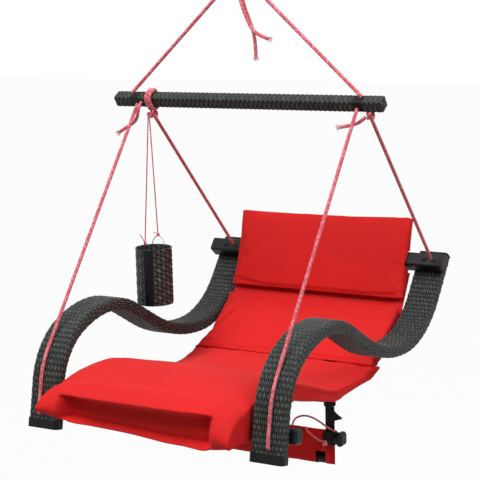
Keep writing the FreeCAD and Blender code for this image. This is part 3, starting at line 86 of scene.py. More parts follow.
class Side(Enum):
    """The sitter's left and right, as the sign of X."""

    LEFT = -1
    RIGHT = 1

    @property
    def label(self) -> str:
        """The side's name as the CAD nodes write it."""
        return self.name.lower()


class Lay(Enum):
    """How a rope lies."""

    TAUT = "taut"
    HANGING = "hanging"
    LOOSE = "loose"


# Modelling helpers.
def deselect() -> None:
    """Leaves edit mode and deselects everything."""
    if bpy.context.mode != "OBJECT":
        bpy.ops.object.mode_set(mode="OBJECT")
    bpy.ops.object.select_all(action="DESELECT")


def only(piece: bpy.types.Object) -> bpy.types.Object:
    """Selects one object alone and makes it the active one."""
    deselect()
    piece.select_set(True)
    bpy.context.view_layer.objects.active = piece
    return piece


def apply_modifiers(piece: bpy.types.Object) -> None:
    """Applies all of a piece's modifiers in order."""
    only(piece)
    for modifier in list(piece.modifiers):
        bpy.ops.object.modifier_apply(modifier=modifier.name)


def subdivide_smoothly(piece: bpy.types.Object, levels: int) -> None:
    """Rounds a piece with an applied subdivision surface.

    Args:
        piece: The mesh to round.
        levels: How many times each face is divided.
    """
    surface = piece.modifiers.new("rounding", "SUBSURF")
    surface.levels = levels
    surface.render_levels = levels
    apply_modifiers(piece)


def smooth_shading(piece: bpy.types.Object, degrees: float = 40.0) -> None:
    """Shades a piece smooth across edges flatter than an angle."""
    only(piece)
    bpy.ops.object.shade_smooth_by_angle(angle=math.radians(degrees))


def outward(piece: bpy.types.Object) -> None:
    """Merges a mesh's doubles and turns its faces outwards."""
    only(piece)
    bpy.ops.object.mode_set(mode="EDIT")
    bpy.ops.mesh.select_all(action="SELECT")
    bpy.ops.mesh.remove_doubles(threshold=MERGE)
    bpy.ops.mesh.normals_make_consistent(inside=False)
    bpy.ops.object.mode_set(mode="OBJECT")


def joined(pieces: Sequence[bpy.types.Object], name: str) -> bpy.types.Object:
    """Joins several meshes into one piece.

    Args:
        pieces: The meshes, of which the first keeps its place.
        name: The joined piece's name.

    Returns:
        The joined piece.
    """
    deselect()
    for piece in pieces:
        piece.select_set(True)
    bpy.context.view_layer.objects.active = pieces[0]
    if len(pieces) > 1:
        bpy.ops.object.join()
    pieces[0].name = name
    return pieces[0]


def node_copy(node: str, name: str) -> bpy.types.Object:
    """A new object with a merged copy of a CAD node's mesh."""
    piece = bpy.data.objects.new(name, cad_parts[node].data.copy())
    piece.data.materials.clear()
    bpy.context.scene.collection.objects.link(piece)
    outward(piece)
    return piece


def coordinates(piece: bpy.types.Object) -> np.ndarray:
    """A mesh's vertex positions as rows."""
    flat = np.zeros(len(piece.data.vertices) * 3)
    piece.data.vertices.foreach_get("co", flat)
    return flat.reshape(-1, 3)


def normals(piece: bpy.types.Object) -> np.ndarray:
    """A mesh's vertex normals as rows."""
    return np.array([vertex.normal for vertex in piece.data.vertices])


def move_to(piece: bpy.types.Object, rows: np.ndarray) -> None:
    """Puts a mesh's vertices at new positions."""
    piece.data.vertices.foreach_set("co", rows.astype(np.float32).ravel())
    piece.data.update()


def surface_grid(name: str, rows: np.ndarray, strands: np.ndarray, closed: bool) -> bpy.types.Object:
    """A mesh over a grid of points, with a UV map that counts strands.

    Args:
        name: The piece's name.
        rows: Points by row, column and axis.
        strands: The UV pair at each corner, with one column more than rows where the columns close.
        closed: Whether the last column joins the first.

    Returns:
        The new piece.
    """
    count, across = rows.shape[:2]
    spans = across if closed else across - 1
    first = np.arange(count - 1)[:, None] * across
    column = np.arange(spans)[None, :]
    following = (column + 1) % across
    faces = np.stack([first + column, first + following, first + across + following,
                      first + across + column], -1)
    mesh = bpy.data.meshes.new(name)
    mesh.from_pydata(rows.reshape(-1, 3).tolist(), [], faces.reshape(-1, 4).tolist())
    layer = mesh.uv_layers.new(name=STRAND_UV)
    corners = np.stack([strands[:-1, :spans], strands[:-1, 1:spans + 1], strands[1:, 1:spans + 1],
                        strands[1:, :spans]], 2)
    layer.data.foreach_set("uv", corners.reshape(-1).astype(np.float32))
    mesh.update()
    piece = bpy.data.objects.new(name, mesh)
    bpy.context.scene.collection.objects.link(piece)
    return piece


def travelled(points: np.ndarray) -> np.ndarray:
    """How far along a line of points each one lies."""
    return np.concatenate([[0.0], np.cumsum(np.linalg.norm(np.diff(points, axis=0), axis=1))])


def turned(flat: np.ndarray, degrees: float) -> np.ndarray:
    """Points of a section turned about X, in (Y, Z)."""
    turn = math.radians(degrees)
    spin = np.array(((math.cos(turn), -math.sin(turn)), (math.sin(turn), math.cos(turn))))
    return flat @ spin.T


def thicken(piece: bpy.types.Object, thickness: float, offset: float) -> None:
    """Gives an open sheet an applied wall.

    Args:
        piece: The sheet.
        thickness: The wall's thickness.
        offset: Which way the wall grows, from -1 inwards to 1 outwards.
    """
    wall = piece.modifiers.new("wall", "SOLIDIFY")
    wall.thickness = thickness
    wall.offset = offset
    apply_modifiers(piece)


def close_ends(piece: bpy.types.Object) -> None:
    """Fills a tube's open ends."""
    only(piece)
    bpy.ops.object.mode_set(mode="EDIT")
    bpy.ops.mesh.select_all(action="DESELECT")
    bpy.ops.mesh.select_mode(type="EDGE")
    bpy.ops.mesh.select_non_manifold(extend=False, use_wire=False, use_multi_face=False,
                                     use_non_contiguous=False, use_verts=False)
    bpy.ops.mesh.edge_face_add()
    bpy.ops.mesh.select_all(action="SELECT")
    bpy.ops.mesh.normals_make_consistent(inside=False)
    bpy.ops.object.mode_set(mode="OBJECT")


def strand_relief(u: np.ndarray, v: np.ndarray, drop: float = 0.0) -> np.ndarray:
    """The height of a plain weave of strips, from about -1 in its gaps to 0.5 on its crowns.

    Args:
        u: Strand counts across the strips that run lengthways.
        v: Strand counts along them.
        drop: How much lower the crossing strips lie.

    Returns:
        The height at each point.
    """
    across = u - np.floor(u) - 0.5
    along = v - np.floor(v) - 0.5
    over = 1 - 2 * np.mod(np.floor(u) + np.floor(v), 2)
    lengthways = 0.5 * over * np.cos(math.pi * along) - STRIP_CROWN * across**2
    crossways = -0.5 * over * np.cos(math.pi * across) - STRIP_CROWN * along**2 - drop
    return np.maximum(lengthways, crossways)


def ease(value: np.ndarray, low: float, high: float) -> np.ndarray:
    """A soft step from 0 below one value to 1 above another."""
    share = np.clip((value - low) / (high - low), 0.0, 1.0)
    return share * share * (3 - 2 * share)


def rounded_square(width: float, height: float, corner: float,
                   count: int) -> tuple[np.ndarray, np.ndarray, np.ndarray]:
    """Points round a rectangle with round corners, evenly spaced.

    Args:
        width: The side along the first axis.
        height: The side along the second axis.
        corner: The corners' radius.
        count: How many points.

    Returns:
        The points, their outward directions and their shares of the way round.
    """
    flat_w = width - 2 * corner
    flat_h = height - 2 * corner
    bend = corner * math.pi / 2
    runs = (flat_h, bend, flat_w, bend, flat_h, bend, flat_w, bend)
    total = sum(runs)
    points, outs, shares = [], [], []
    for index in range(count):
        share = index / count
        travel = share * total
        leg = 0
        while travel > runs[leg]:
            travel -= runs[leg]
            leg += 1
        quarter, curved = divmod(leg, 2)
        facing = quarter * math.pi / 2
        reach = (width, height)[quarter % 2] / 2
        flat = (flat_h, flat_w)[quarter % 2]
        out = np.array((math.cos(facing), math.sin(facing)))
        side = np.array((-math.sin(facing), math.cos(facing)))
        if curved:
            turn = facing + travel / corner
            middle = out * (reach - corner) + side * flat / 2
            out = np.array((math.cos(turn), math.sin(turn)))
            points.append(middle + out * corner)
        else:
            points.append(out * reach + side * (travel - flat / 2))
        outs.append(out)
        shares.append(share)
    return np.array(points), np.array(outs), np.array(shares)


# Node trees.
class NodeBoard:
    """A node tree with short ways to add and join nodes."""

    def __init__(self, tree: bpy.types.NodeTree) -> None:
        """Starts on an empty tree."""
        self.tree = tree
        tree.nodes.clear()

    def add(self, kind: str, **settings: object) -> bpy.types.Node:
        """Adds a node and sets its properties."""
        node = self.tree.nodes.new(kind)
        for name, value in settings.items():
            setattr(node, name, value)
        return node

    def feed(self, node: bpy.types.Node, **values: object) -> bpy.types.Node:
        """Sets or links a node's inputs, named with underscores for spaces."""
        for name, value in values.items():
            socket = node.inputs[name.replace("_", " ")]
            if isinstance(value, bpy.types.NodeSocket):
                self.tree.links.new(value, socket)
            else:
                socket.default_value = value
        return node

    def math(self, operation: str, *values: object) -> bpy.types.NodeSocket:
        """The output of a math node over numbers and sockets."""
        node = self.add("ShaderNodeMath", operation=operation)
        for socket, value in zip(node.inputs, values):
            if isinstance(value, bpy.types.NodeSocket):
                self.tree.links.new(value, socket)
            else:
                socket.default_value = value
        return node.outputs[0]

    def blend(self, share: object, first: object, second: object) -> bpy.types.NodeSocket:
        """A colour mixed from two by a share."""
        node = self.add("ShaderNodeMix", data_type="RGBA")
        for index, value in ((0, share), (6, first), (7, second)):
            if isinstance(value, bpy.types.NodeSocket):
                self.tree.links.new(value, node.inputs[index])
            else:
                node.inputs[index].default_value = value if index == 0 else (*value, 1)
        return node.outputs[2]

    def spread(self, value: object, low: float, high: float, to_low: float,
               to_high: float) -> bpy.types.NodeSocket:
        """A value stretched from one range onto another, and held there."""
        node = self.add("ShaderNodeMapRange")
        self.feed(node, Value=value, From_Min=low, From_Max=high, To_Min=to_low, To_Max=to_high)
        return node.outputs[0]


def new_group(name: str, inputs: Sequence[tuple[str, str]], outputs: Sequence[tuple[str, str]]) -> tuple:
    """An empty shader node group.

    Args:
        name: The group's name.
        inputs: Names and socket types that go in.
        outputs: Names and socket types that come out.

    Returns:
        The group's board, its input node and its output node.
    """
    tree = bpy.data.node_groups.new(name, "ShaderNodeTree")
    for label, kind in inputs:
        tree.interface.new_socket(name=label, in_out="INPUT", socket_type=kind)
    for label, kind in outputs:
        tree.interface.new_socket(name=label, in_out="OUTPUT", socket_type=kind)
    board = NodeBoard(tree)
    return board, board.add("NodeGroupInput"), board.add("NodeGroupOutput")


def weave_group() -> bpy.types.NodeTree:
    """The shared weave: strips over and under each other, counted by a UV map."""
    board, source, sink = new_group(
        "strip_weave", [("Strands", "NodeSocketVector"), ("Drop", "NodeSocketFloat")],
        [("Height", "NodeSocketFloat"), ("Gap", "NodeSocketFloat"), ("Tone", "NodeSocketFloat")])
    split = board.feed(board.add("ShaderNodeSeparateXYZ"), Vector=source.outputs["Strands"])
    u, v = split.outputs["X"], split.outputs["Y"]
    cell_u = board.math("FLOOR", u)
    cell_v = board.math("FLOOR", v)
    across = board.math("SUBTRACT", board.math("FRACT", u), 0.5)
    along = board.math("SUBTRACT", board.math("FRACT", v), 0.5)
    under = board.math("PINGPONG", board.math("ADD", cell_u, cell_v), 1.0)
    over = board.math("MULTIPLY_ADD", under, -2.0, 1.0)
    arch_along = board.math("COSINE", board.math("MULTIPLY", along, math.pi))
    arch_across = board.math("COSINE", board.math("MULTIPLY", across, math.pi))
    crown_u = board.math("MULTIPLY", board.math("POWER", across, 2.0), -STRIP_CROWN)
    crown_v = board.math("MULTIPLY", board.math("POWER", along, 2.0), -STRIP_CROWN)
    half = board.math("MULTIPLY", over, 0.5)
    lengthways = board.math("MULTIPLY_ADD", half, arch_along, crown_u)
    level = board.math("SUBTRACT", crown_v, board.math("MULTIPLY", half, arch_across))
    crossways = board.math("SUBTRACT", level, source.outputs["Drop"])
    height = board.math("MAXIMUM", lengthways, crossways)
    on_top = board.math("GREATER_THAN", lengthways, crossways)
    other = board.math("ADD", cell_v, CROSS_SEED)
    strand = board.math("MULTIPLY_ADD", board.math("SUBTRACT", cell_u, other), on_top, other)
    chance = board.add("ShaderNodeTexWhiteNoise", noise_dimensions="2D")
    pair = board.math("FLOOR", board.math("MULTIPLY", v, 0.5))
    mixed = board.feed(board.add("ShaderNodeCombineXYZ"), X=strand, Y=pair)
    board.feed(chance, Vector=mixed.outputs[0])
    # Gap mask, high where the weave lies deepest; the finishes paint shade there.
    gap = board.spread(height, -0.5, -0.1, 1.0, 0.0)
    for name, socket in (("Height", height), ("Gap", gap), ("Tone", chance.outputs["Value"])):
        board.tree.links.new(socket, sink.inputs[name])
    return board.tree


def wear_group() -> bpy.types.NodeTree:
    """The shared wear: soft blotches and fine scuffs on Object coordinates."""
    board, source, sink = new_group(
        "scuffs", [("Place", "NodeSocketVector"), ("Coarse", "NodeSocketFloat"), ("Fine", "NodeSocketFloat")],
        [("Blotch", "NodeSocketFloat"), ("Grit", "NodeSocketFloat")])
    for scale, output in (("Coarse", "Blotch"), ("Fine", "Grit")):
        cloud = board.add("ShaderNodeTexNoise")
        board.feed(cloud, Vector=source.outputs["Place"], Scale=source.outputs[scale],
                   Detail=4.0, Roughness=0.6)
        board.tree.links.new(board.spread(cloud.outputs["Fac"], 0.3, 0.7, 0.0, 1.0), sink.inputs[output])
    return board.tree


def cloth_group() -> bpy.types.NodeTree:
    """The shared cloth: fine threads both ways on Object coordinates, and slow unevenness."""
    board, source, sink = new_group(
        "plain_cloth", [("Place", "NodeSocketVector"), ("Threads", "NodeSocketFloat")],
        [("Height", "NodeSocketFloat"), ("Uneven", "NodeSocketFloat")])
    waves = []
    for direction in ("X", "DIAGONAL"):
        wave = board.add("ShaderNodeTexWave", wave_type="BANDS", bands_direction=direction)
        board.feed(wave, Vector=source.outputs["Place"], Scale=source.outputs["Threads"], Distortion=0.6)
        waves.append(wave.outputs["Fac"])
    height = board.math("MAXIMUM", *waves)
    cloud = board.add("ShaderNodeTexNoise")
    board.feed(cloud, Vector=source.outputs["Place"], Scale=14.0, Detail=5.0, Roughness=0.55)
    board.tree.links.new(height, sink.inputs["Height"])
    board.tree.links.new(board.spread(cloud.outputs["Fac"], 0.3, 0.7, 0.0, 1.0), sink.inputs["Uneven"])
    return board.tree


WEAVE = weave_group()
WEAR = wear_group()
CLOTH = cloth_group()


class Finish:
    """What all finishes share: a new material with one Principled shader."""

    name: str

    def start(self) -> tuple[bpy.types.Material, NodeBoard, bpy.types.Node]:
        """A material with a Principled shader joined to its output."""
        material = bpy.data.materials.new(self.name)
        material.use_nodes = True
        board = NodeBoard(material.node_tree)
        shader = board.add("ShaderNodeBsdfPrincipled")
        output = board.add("ShaderNodeOutputMaterial")
        board.tree.links.new(shader.outputs["BSDF"], output.inputs["Surface"])
        return material, board, shader

    def bump(self, board: NodeBoard, shader: bpy.types.Node, height: object, depth: float) -> None:
        """Joins a height to the shader's normal through a bump of that depth in metres."""
        node = board.feed(board.add("ShaderNodeBump"), Height=height, Strength=1.0, Distance=depth)
        board.feed(shader, Normal=node.outputs["Normal"])

    def place(self, board: NodeBoard) -> bpy.types.NodeSocket:
        """The Object coordinates."""
        return board.add("ShaderNodeTexCoord").outputs["Object"]

    def weave(self, board: NodeBoard, drop: float) -> bpy.types.Node:
        """The weave group on the strand UV map, with its crossing strips lower by a drop."""
        node = board.add("ShaderNodeGroup", node_tree=WEAVE)
        counts = board.add("ShaderNodeUVMap", uv_map=STRAND_UV)
        return board.feed(node, Strands=counts.outputs["UV"], Drop=drop)

    def scuffs(self, board: NodeBoard, coarse: float, fine: float) -> bpy.types.Node:
        """The wear group on Object coordinates."""
        node = board.add("ShaderNodeGroup", node_tree=WEAR)
        return board.feed(node, Place=self.place(board), Coarse=coarse, Fine=fine)


@dataclass(frozen=True)
class StripFinish(Finish):
    """Woven strips, each its own tone, with a painted highlight on each strip's crown and painted shade in the
    gaps.
    """

    name: str
    dark: Colour
    # The painted highlight colour, which each strip's crown is drawn towards.
    light: Colour
    # The painted shade colour in the gaps between the strips, also the plain colour where the weave is left
    # out.
    gap: Colour
    roughness: float
    depth: float
    drop: float = 0.0

    def material(self) -> bpy.types.Material:
        """Builds the material."""
        material, board, shader = self.start()
        strips = self.weave(board, self.drop)
        worn = self.scuffs(board, coarse=9.0, fine=420.0)
        shade = board.math("MULTIPLY", strips.outputs["Tone"], 0.7)
        tone = board.math("MULTIPLY_ADD", worn.outputs["Grit"], 0.3, shade)
        # Painted highlight: each strip is drawn lighter towards its crown and stays dark on its flanks; the
        # random strand tone and the grit set how light.
        painted_crown_highlight = board.spread(strips.outputs["Height"], -0.3, 0.4, 0.0, 1.0)
        tone = board.math("MULTIPLY", painted_crown_highlight, board.math("MULTIPLY_ADD", tone, 0.75, 0.25))
        strip = board.blend(tone, self.dark, self.light)
        # Painted shade: the gaps between the strips are drawn in the gap colour.
        board.feed(shader, Base_Color=board.blend(strips.outputs["Gap"], strip, self.gap),
                   Roughness=board.math("MULTIPLY_ADD", worn.outputs["Blotch"], 0.14, self.roughness),
                   Specular_IOR_Level=0.2)
        self.bump(board, shader, strips.outputs["Height"], self.depth)
        return material


@dataclass(frozen=True)
class RopeFinish(Finish):
    """Braided rope with pale flecks and painted shade in the braid's gaps."""

    name: str
    base: Colour
    fleck: Colour
    # The painted shade colour in the braid's gaps.
    shade: Colour
    fleck_share: float
    roughness: float
    depth: float

    def material(self) -> bpy.types.Material:
        """Builds the material."""
        material, board, shader = self.start()
        strips = self.weave(board, 0.0)
        worn = self.scuffs(board, coarse=25.0, fine=900.0)
        plain = 1 - self.fleck_share
        pale = board.spread(strips.outputs["Tone"], plain - 0.06, plain, 0.0, 1.0)
        yarn = board.blend(pale, self.base, self.fleck)
        fuzzed = board.blend(board.math("MULTIPLY", worn.outputs["Grit"], 0.25), yarn, self.fleck)
        # Painted shade: the braid's gaps are drawn towards the shade colour.
        painted_gap_shade = board.math("MULTIPLY", strips.outputs["Gap"], 0.7)
        board.feed(shader, Base_Color=board.blend(painted_gap_shade, fuzzed, self.shade),
                   Roughness=board.math("MULTIPLY_ADD", worn.outputs["Blotch"], 0.1, self.roughness),
                   Sheen_Weight=0.3, Sheen_Roughness=0.5)
        self.bump(board, shader, strips.outputs["Height"], self.depth)
        return material


@dataclass(frozen=True)
class ClothFinish(Finish):
    """Plain woven cloth with a slight sheen, uneven in tone, with a painted highlight on the thread tops."""

    name: str
    base: Colour
    # The lighter red, for the random unevenness and for the painted highlight on the thread tops.
    faded_and_thread_highlight: Colour
    roughness: float
    threads: float
    depth: float

    def material(self) -> bpy.types.Material:
        """Builds the material."""
        material, board, shader = self.start()
        cloth = board.add("ShaderNodeGroup", node_tree=CLOTH)
        board.feed(cloth, Place=self.place(board), Threads=self.threads)
        uneven = board.math("MULTIPLY", cloth.outputs["Uneven"], 0.8)
        # Painted highlight: the thread tops are drawn a little towards the lighter red, on top of the random
        # unevenness.
        uneven_and_thread_highlight = board.math("MULTIPLY_ADD", cloth.outputs["Height"], 0.2, uneven)
        board.feed(shader, Base_Color=board.blend(uneven_and_thread_highlight, self.base, self.faded_and_thread_highlight),
                   Roughness=board.math("MULTIPLY_ADD", cloth.outputs["Uneven"], 0.1, self.roughness),
                   Sheen_Weight=0.03, Sheen_Roughness=0.4, Specular_IOR_Level=0.22)
        self.bump(board, shader, cloth.outputs["Height"], self.depth)
        return material


@dataclass(frozen=True)
class PaintFinish(Finish):
    """Painted, stained or moulded black, with scuffs, and grain along X where it is wood."""

    name: str
    base: Colour
    worn: Colour
    roughness: float
    grain: float
    depth: float

    def material(self) -> bpy.types.Material:
        """Builds the material."""
        material, board, shader = self.start()
        marks = self.scuffs(board, coarse=16.0, fine=650.0)
        place = self.place(board)
        stretched = board.feed(board.add("ShaderNodeMapping"), Vector=place, Scale=(self.grain, 1.0, 1.0))
        lines = board.feed(board.add("ShaderNodeTexNoise"), Vector=stretched.outputs[0], Scale=260.0,
                           Detail=6.0, Roughness=0.65)
        rubbed = board.spread(marks.outputs["Blotch"], 0.62, 1.0, 0.0, 0.8)
        shade = board.math("MULTIPLY", rubbed, lines.outputs["Fac"])
        board.feed(shader, Base_Color=board.blend(shade, self.base, self.worn),
                   Roughness=board.math("MULTIPLY_ADD", lines.outputs["Fac"], 0.2, self.roughness),
                   Specular_IOR_Level=0.2)
        self.bump(board, shader, lines.outputs["Fac"], self.depth)
        return material


@dataclass(frozen=True)
class SteelFinish(Finish):
    """Bright drawn wire."""

    name: str
    base: Colour
    tarnish: Colour
    roughness: float
    depth: float

    def material(self) -> bpy.types.Material:
        """Builds the material."""
        material, board, shader = self.start()
        marks = self.scuffs(board, coarse=60.0, fine=1400.0)
        board.feed(shader, Base_Color=board.blend(marks.outputs["Blotch"], self.base, self.tarnish),
                   Metallic=1.0,
                   Roughness=board.math("MULTIPLY_ADD", marks.outputs["Grit"], 0.16, self.roughness))
        self.bump(board, shader, marks.outputs["Grit"], self.depth)
        return material


STRIP_DROP = 0.3
STRIP_DARK: Colour = (0.005, 0.006, 0.0055)
# Painted shade colour for the weave's gaps, also the plain colour where the weave is left out.
STRIP_GAP: Colour = (0.001, 0.001, 0.001)
# In the strip finishes, light is the painted highlight colour on the strips' crowns. In the rope finishes,
# shade is the painted shade colour in the braid's gaps. The cloth's lighter red is partly a painted highlight
# on the thread tops.
WICKER = StripFinish("woven_black_strip", dark=STRIP_DARK, light=(0.125, 0.140, 0.132), gap=STRIP_GAP,
                     roughness=0.42, depth=0.0014, drop=STRIP_DROP)
BRAID = StripFinish("braided_black_strip", dark=STRIP_DARK, light=(0.064, 0.068, 0.065), gap=STRIP_GAP,
                    roughness=0.42, depth=0.0014)
WEBBING = StripFinish("black_webbing", dark=(0.008, 0.008, 0.008), light=(0.02, 0.02, 0.02),
                      gap=(0.003, 0.003, 0.003), roughness=0.7, depth=0.0003)
ROPE = RopeFinish("braided_red_rope", base=(0.62, 0.050, 0.080), fleck=(0.74, 0.23, 0.27),
                  shade=(0.34, 0.018, 0.03), fleck_share=0.36, roughness=0.66, depth=0.0004)
THIN_CORD = RopeFinish("thin_red_cord", base=(0.66, 0.07, 0.11), fleck=(0.80, 0.30, 0.34),
                       shade=(0.36, 0.02, 0.035), fleck_share=0.35, roughness=0.66, depth=0.0002)
RED_CLOTH = ClothFinish("red_seat_cloth", base=(0.66, 0.011, 0.011), faded_and_thread_highlight=(0.74, 0.015, 0.014),
                        roughness=0.7, threads=520.0, depth=0.00012)
BLACK_WOOD = PaintFinish("black_stained_wood", base=(0.006, 0.0055, 0.005), worn=(0.024, 0.021, 0.018),
                         roughness=0.42, grain=0.05, depth=0.0003)
BLACK_PLASTIC = PaintFinish("black_moulded_plastic", base=(0.004, 0.004, 0.004), worn=(0.014, 0.014, 0.014),
                            roughness=0.4, grain=1.0, depth=0.0001)
BLACK_PAINT = PaintFinish("satin_black_paint", base=(0.005, 0.005, 0.005), worn=(0.02, 0.0195, 0.0185),
                          roughness=0.34, grain=1.0, depth=0.0001)
BRIGHT_WIRE = SteelFinish("bright_wire", base=(0.62, 0.62, 0.63), tarnish=(0.42, 0.41, 0.40), roughness=0.2,
                          depth=0.00004)


class Palette:
    """Builds each finish's material once."""

    def __init__(self) -> None:
        """Starts with nothing mixed."""
        self.mixed: dict[str, bpy.types.Material] = {}

    def of(self, finish: Finish) -> bpy.types.Material:
        """The material of a finish."""
        if finish.name not in self.mixed:
            self.mixed[finish.name] = finish.material()
        return self.mixed[finish.name]


PALETTE = Palette()


def dress(piece: bpy.types.Object, finish: Finish, body: Body, slot: Slot, *nodes: str) -> bpy.types.Object:
    """Gives a finished piece its material, its body and the CAD nodes that it stands for.

    Args:
        piece: The finished piece.
        finish: Its finish.
        body: The CAD body that it rides on.
        slot: The record's material slot; not used.
        nodes: CAD nodes that it replaces.

    Returns:
        The same piece.
    """
    piece.data.materials.clear()
    piece.data.materials.append(PALETTE.of(finish))
    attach(piece, body.value)
    if nodes:
        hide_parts(*nodes)
    LOG.info("%s rides on %s", piece.name, body.value)
    return piece


def paint_nodes(finish: Finish, *nodes: str) -> None:
    """Gives CAD nodes that stay in view a finish."""
    for node in nodes:
        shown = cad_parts[node]
        shown.data.materials.clear()
        shown.data.materials.append(PALETTE.of(finish))
        smooth_shading(shown)
        LOG.info("%s keeps its CAD shape", node)


# Ropes and cords.
@dataclass(frozen=True)
class Braid:
    """How a rope is braided and how finely it is built."""

    pitch: float = 0.0065
    yarns: int = 4
    sides: int = 16
    relief: float = 0.0006
    step: float = 0.0013


HEAVY_BRAID = Braid()
TIE_BRAID = Braid(pitch=0.006, yarns=3, sides=12, relief=0.00025, step=0.0018)
SECOND_TIE_BRAID = Braid(pitch=0.005, yarns=3, sides=12, relief=0.00025, step=0.0016)
SECOND_KNOT_BRAID = replace(SECOND_TIE_BRAID, sides=10)
CUP_CORD_BRAID = Braid(pitch=0.0045, yarns=3, sides=10, relief=0.0002, step=0.0018)
CUP_KNOT_BRAID = replace(CUP_CORD_BRAID, step=0.0016)
CUP_TIE_BRAID = replace(CUP_KNOT_BRAID, sides=8)
YARN_BRAID = Braid(pitch=0.004, yarns=2, sides=5, relief=0.00005, step=0.003)
PLAIN_WIRE = Braid(pitch=0.01, yarns=2, sides=12, relief=0.0, step=0.0015)
ROUTE_ORDER = 3
ROUTE_STEPS = 24
FEWEST_STEPS = 8
FIRST_SIDE: Point = (0.31, 0.94, 0.12)


@dataclass
class Rope:
    """A braided rope or cord along a route of points in the CAD frame."""

    name: str
    route: Sequence[Point]
    diameter: float
    braid: Braid = HEAVY_BRAID

    def line(self) -> np.ndarray:
        """Points along the route's smooth line, evenly spaced."""
        curve = bpy.data.curves.new(f"{self.name}_line", "CURVE")
        curve.dimensions = "3D"
        spline = curve.splines.new("NURBS")
        spline.points.add(len(self.route) - 1)
        for control, point in zip(spline.points, self.route):
            control.co = (*point, 1.0)
        spline.use_endpoint_u = True
        spline.order_u = ROUTE_ORDER
        curve.resolution_u = ROUTE_STEPS
        holder = bpy.data.objects.new(curve.name, curve)
        bpy.context.scene.collection.objects.link(holder)
        bpy.context.view_layer.update()
        evaluated = holder.evaluated_get(bpy.context.evaluated_depsgraph_get())
        mesh = bpy.data.meshes.new_from_object(evaluated)
        points = np.array([vertex.co for vertex in mesh.vertices])
        bpy.data.objects.remove(holder)
        bpy.data.meshes.remove(mesh)
        travel = travelled(points)
        count = max(int(travel[-1] / self.braid.step), FEWEST_STEPS)
        marks = np.linspace(0.0, travel[-1], count + 1)
        return np.stack([np.interp(marks, travel, points[:, axis]) for axis in range(3)], -1)

    def tube(self, line: np.ndarray) -> bpy.types.Object:
        """A closed braided tube round a line.

        Args:
            line: Points along the rope.

        Returns:
            The tube.
        """
        heading = np.gradient(line, axis=0)
        heading /= np.linalg.norm(heading, axis=1)[:, None]
        side = np.cross(heading[0], FIRST_SIDE)
        sides = [side / np.linalg.norm(side)]
        for ahead in heading[1:]:
            side = sides[-1] - ahead * np.dot(sides[-1], ahead)
            sides.append(side / np.linalg.norm(side))
        across = np.array(sides)
        up = np.cross(heading, across)
        travel = travelled(line)
        turn = np.arange(self.braid.sides + 1) / self.braid.sides
        around = self.braid.yarns * turn[None, :]
        along = (travel / self.braid.pitch)[:, None]
        strands = np.stack([around + along, around - along], -1)
        lift = self.braid.relief * strand_relief(strands[:, :-1, 0], strands[:, :-1, 1])
        angle = FULL_TURN * turn[None, :-1, None]
        out = np.cos(angle) * across[:, None, :] + np.sin(angle) * up[:, None, :]
        radius = self.diameter / 2 - self.braid.relief / 2
        rows = line[:, None, :] + out * (radius + lift)[:, :, None]
        piece = surface_grid(self.name, rows, strands, closed=True)
        close_ends(piece)
        smooth_shading(piece, SOFT_EDGE)
        return piece

    def build(self, finish: Finish, body: Body, slot: Slot, lay: Lay | None, far_end: str,
              *nodes: str) -> bpy.types.Object:
        """Args:
            finish: The rope's finish.
            body: The CAD body that it rides on.
            slot: The record's material slot; passed to dress, which does not use it.
            lay: How it lies, or None for rope that is part of a knot; not used.
            far_end: What is on its far end; not used.
            nodes: CAD nodes that it replaces.

        Returns:
            The rope.
        """
        line = self.line()
        piece = dress(self.tube(line), finish, body, slot, *nodes)
        return piece


def straight(start: Point, end: Point) -> list[Point]:
    """A taut run as three points in line."""
    middle = tuple((a + b) / 2 for a, b in zip(start, end))
    return [start, middle, end]


def knot_route(centre: Point, radius: float, height: float) -> list[Point]:
    """A tight overhand knot's line: a closed trefoil about the vertical.

    Args:
        centre: The knot's middle.
        radius: How far its rope's middle reaches out.
        height: How far it reaches up and down.

    Returns:
        The route's points.
    """
    count = 30
    points = []
    for index in range(count + 1):
        t = FULL_TURN * index / count
        x = (math.sin(t) + 2 * math.sin(2 * t)) / 3
        y = (math.cos(t) - 2 * math.cos(2 * t)) / 3
        z = -math.sin(3 * t)
        points.append((centre[0] + radius * x, centre[1] + radius * y, centre[2] + height * z))
    return points


@dataclass
class Tuft:
    """A frayed rope end: thin yarns that splay from the cut."""

    name: str
    tip: Point
    heading: Point
    spread: float = 0.0045
    length: float = 0.013
    yarn: float = 0.0011
    count: int = 14
    least: float = 0.75
    uneven: float = 0.35
    chance: tuple[float, float] = (3.7, 0.4)
    root_spread: float = 0.7
    tip_spread: float = 1.9

    def build(self, body: Body) -> bpy.types.Object:
        """Makes the tuft and dresses it."""
        ahead = Vector(self.heading).normalized()
        side = ahead.orthogonal().normalized()
        up = ahead.cross(side)
        start = Vector(self.tip) - ahead * self.length / 3
        yarns = []
        for index in range(self.count):
            turn = index * GOLDEN_ANGLE
            share = math.sqrt((index + 0.5) / self.count)
            out = side * math.cos(turn) + up * math.sin(turn)
            chance = noise.noise(Vector((index * self.chance[0], share, self.chance[1])))
            reach = self.length * (self.least + self.uneven * chance)
            root = start + out * self.spread * share * self.root_spread
            tip = start + ahead * (reach + self.length / 3) + out * self.spread * share * self.tip_spread
            bend = (root + tip) / 2 + ahead * self.length / 6
            yarn = Rope(f"{self.name}_yarn", [tuple(root), tuple(bend), tuple(tip)], self.yarn, YARN_BRAID)
            yarns.append(yarn.tube(yarn.line()))
        return dress(joined(yarns, self.name), ROPE, body, Slot.ROPE)


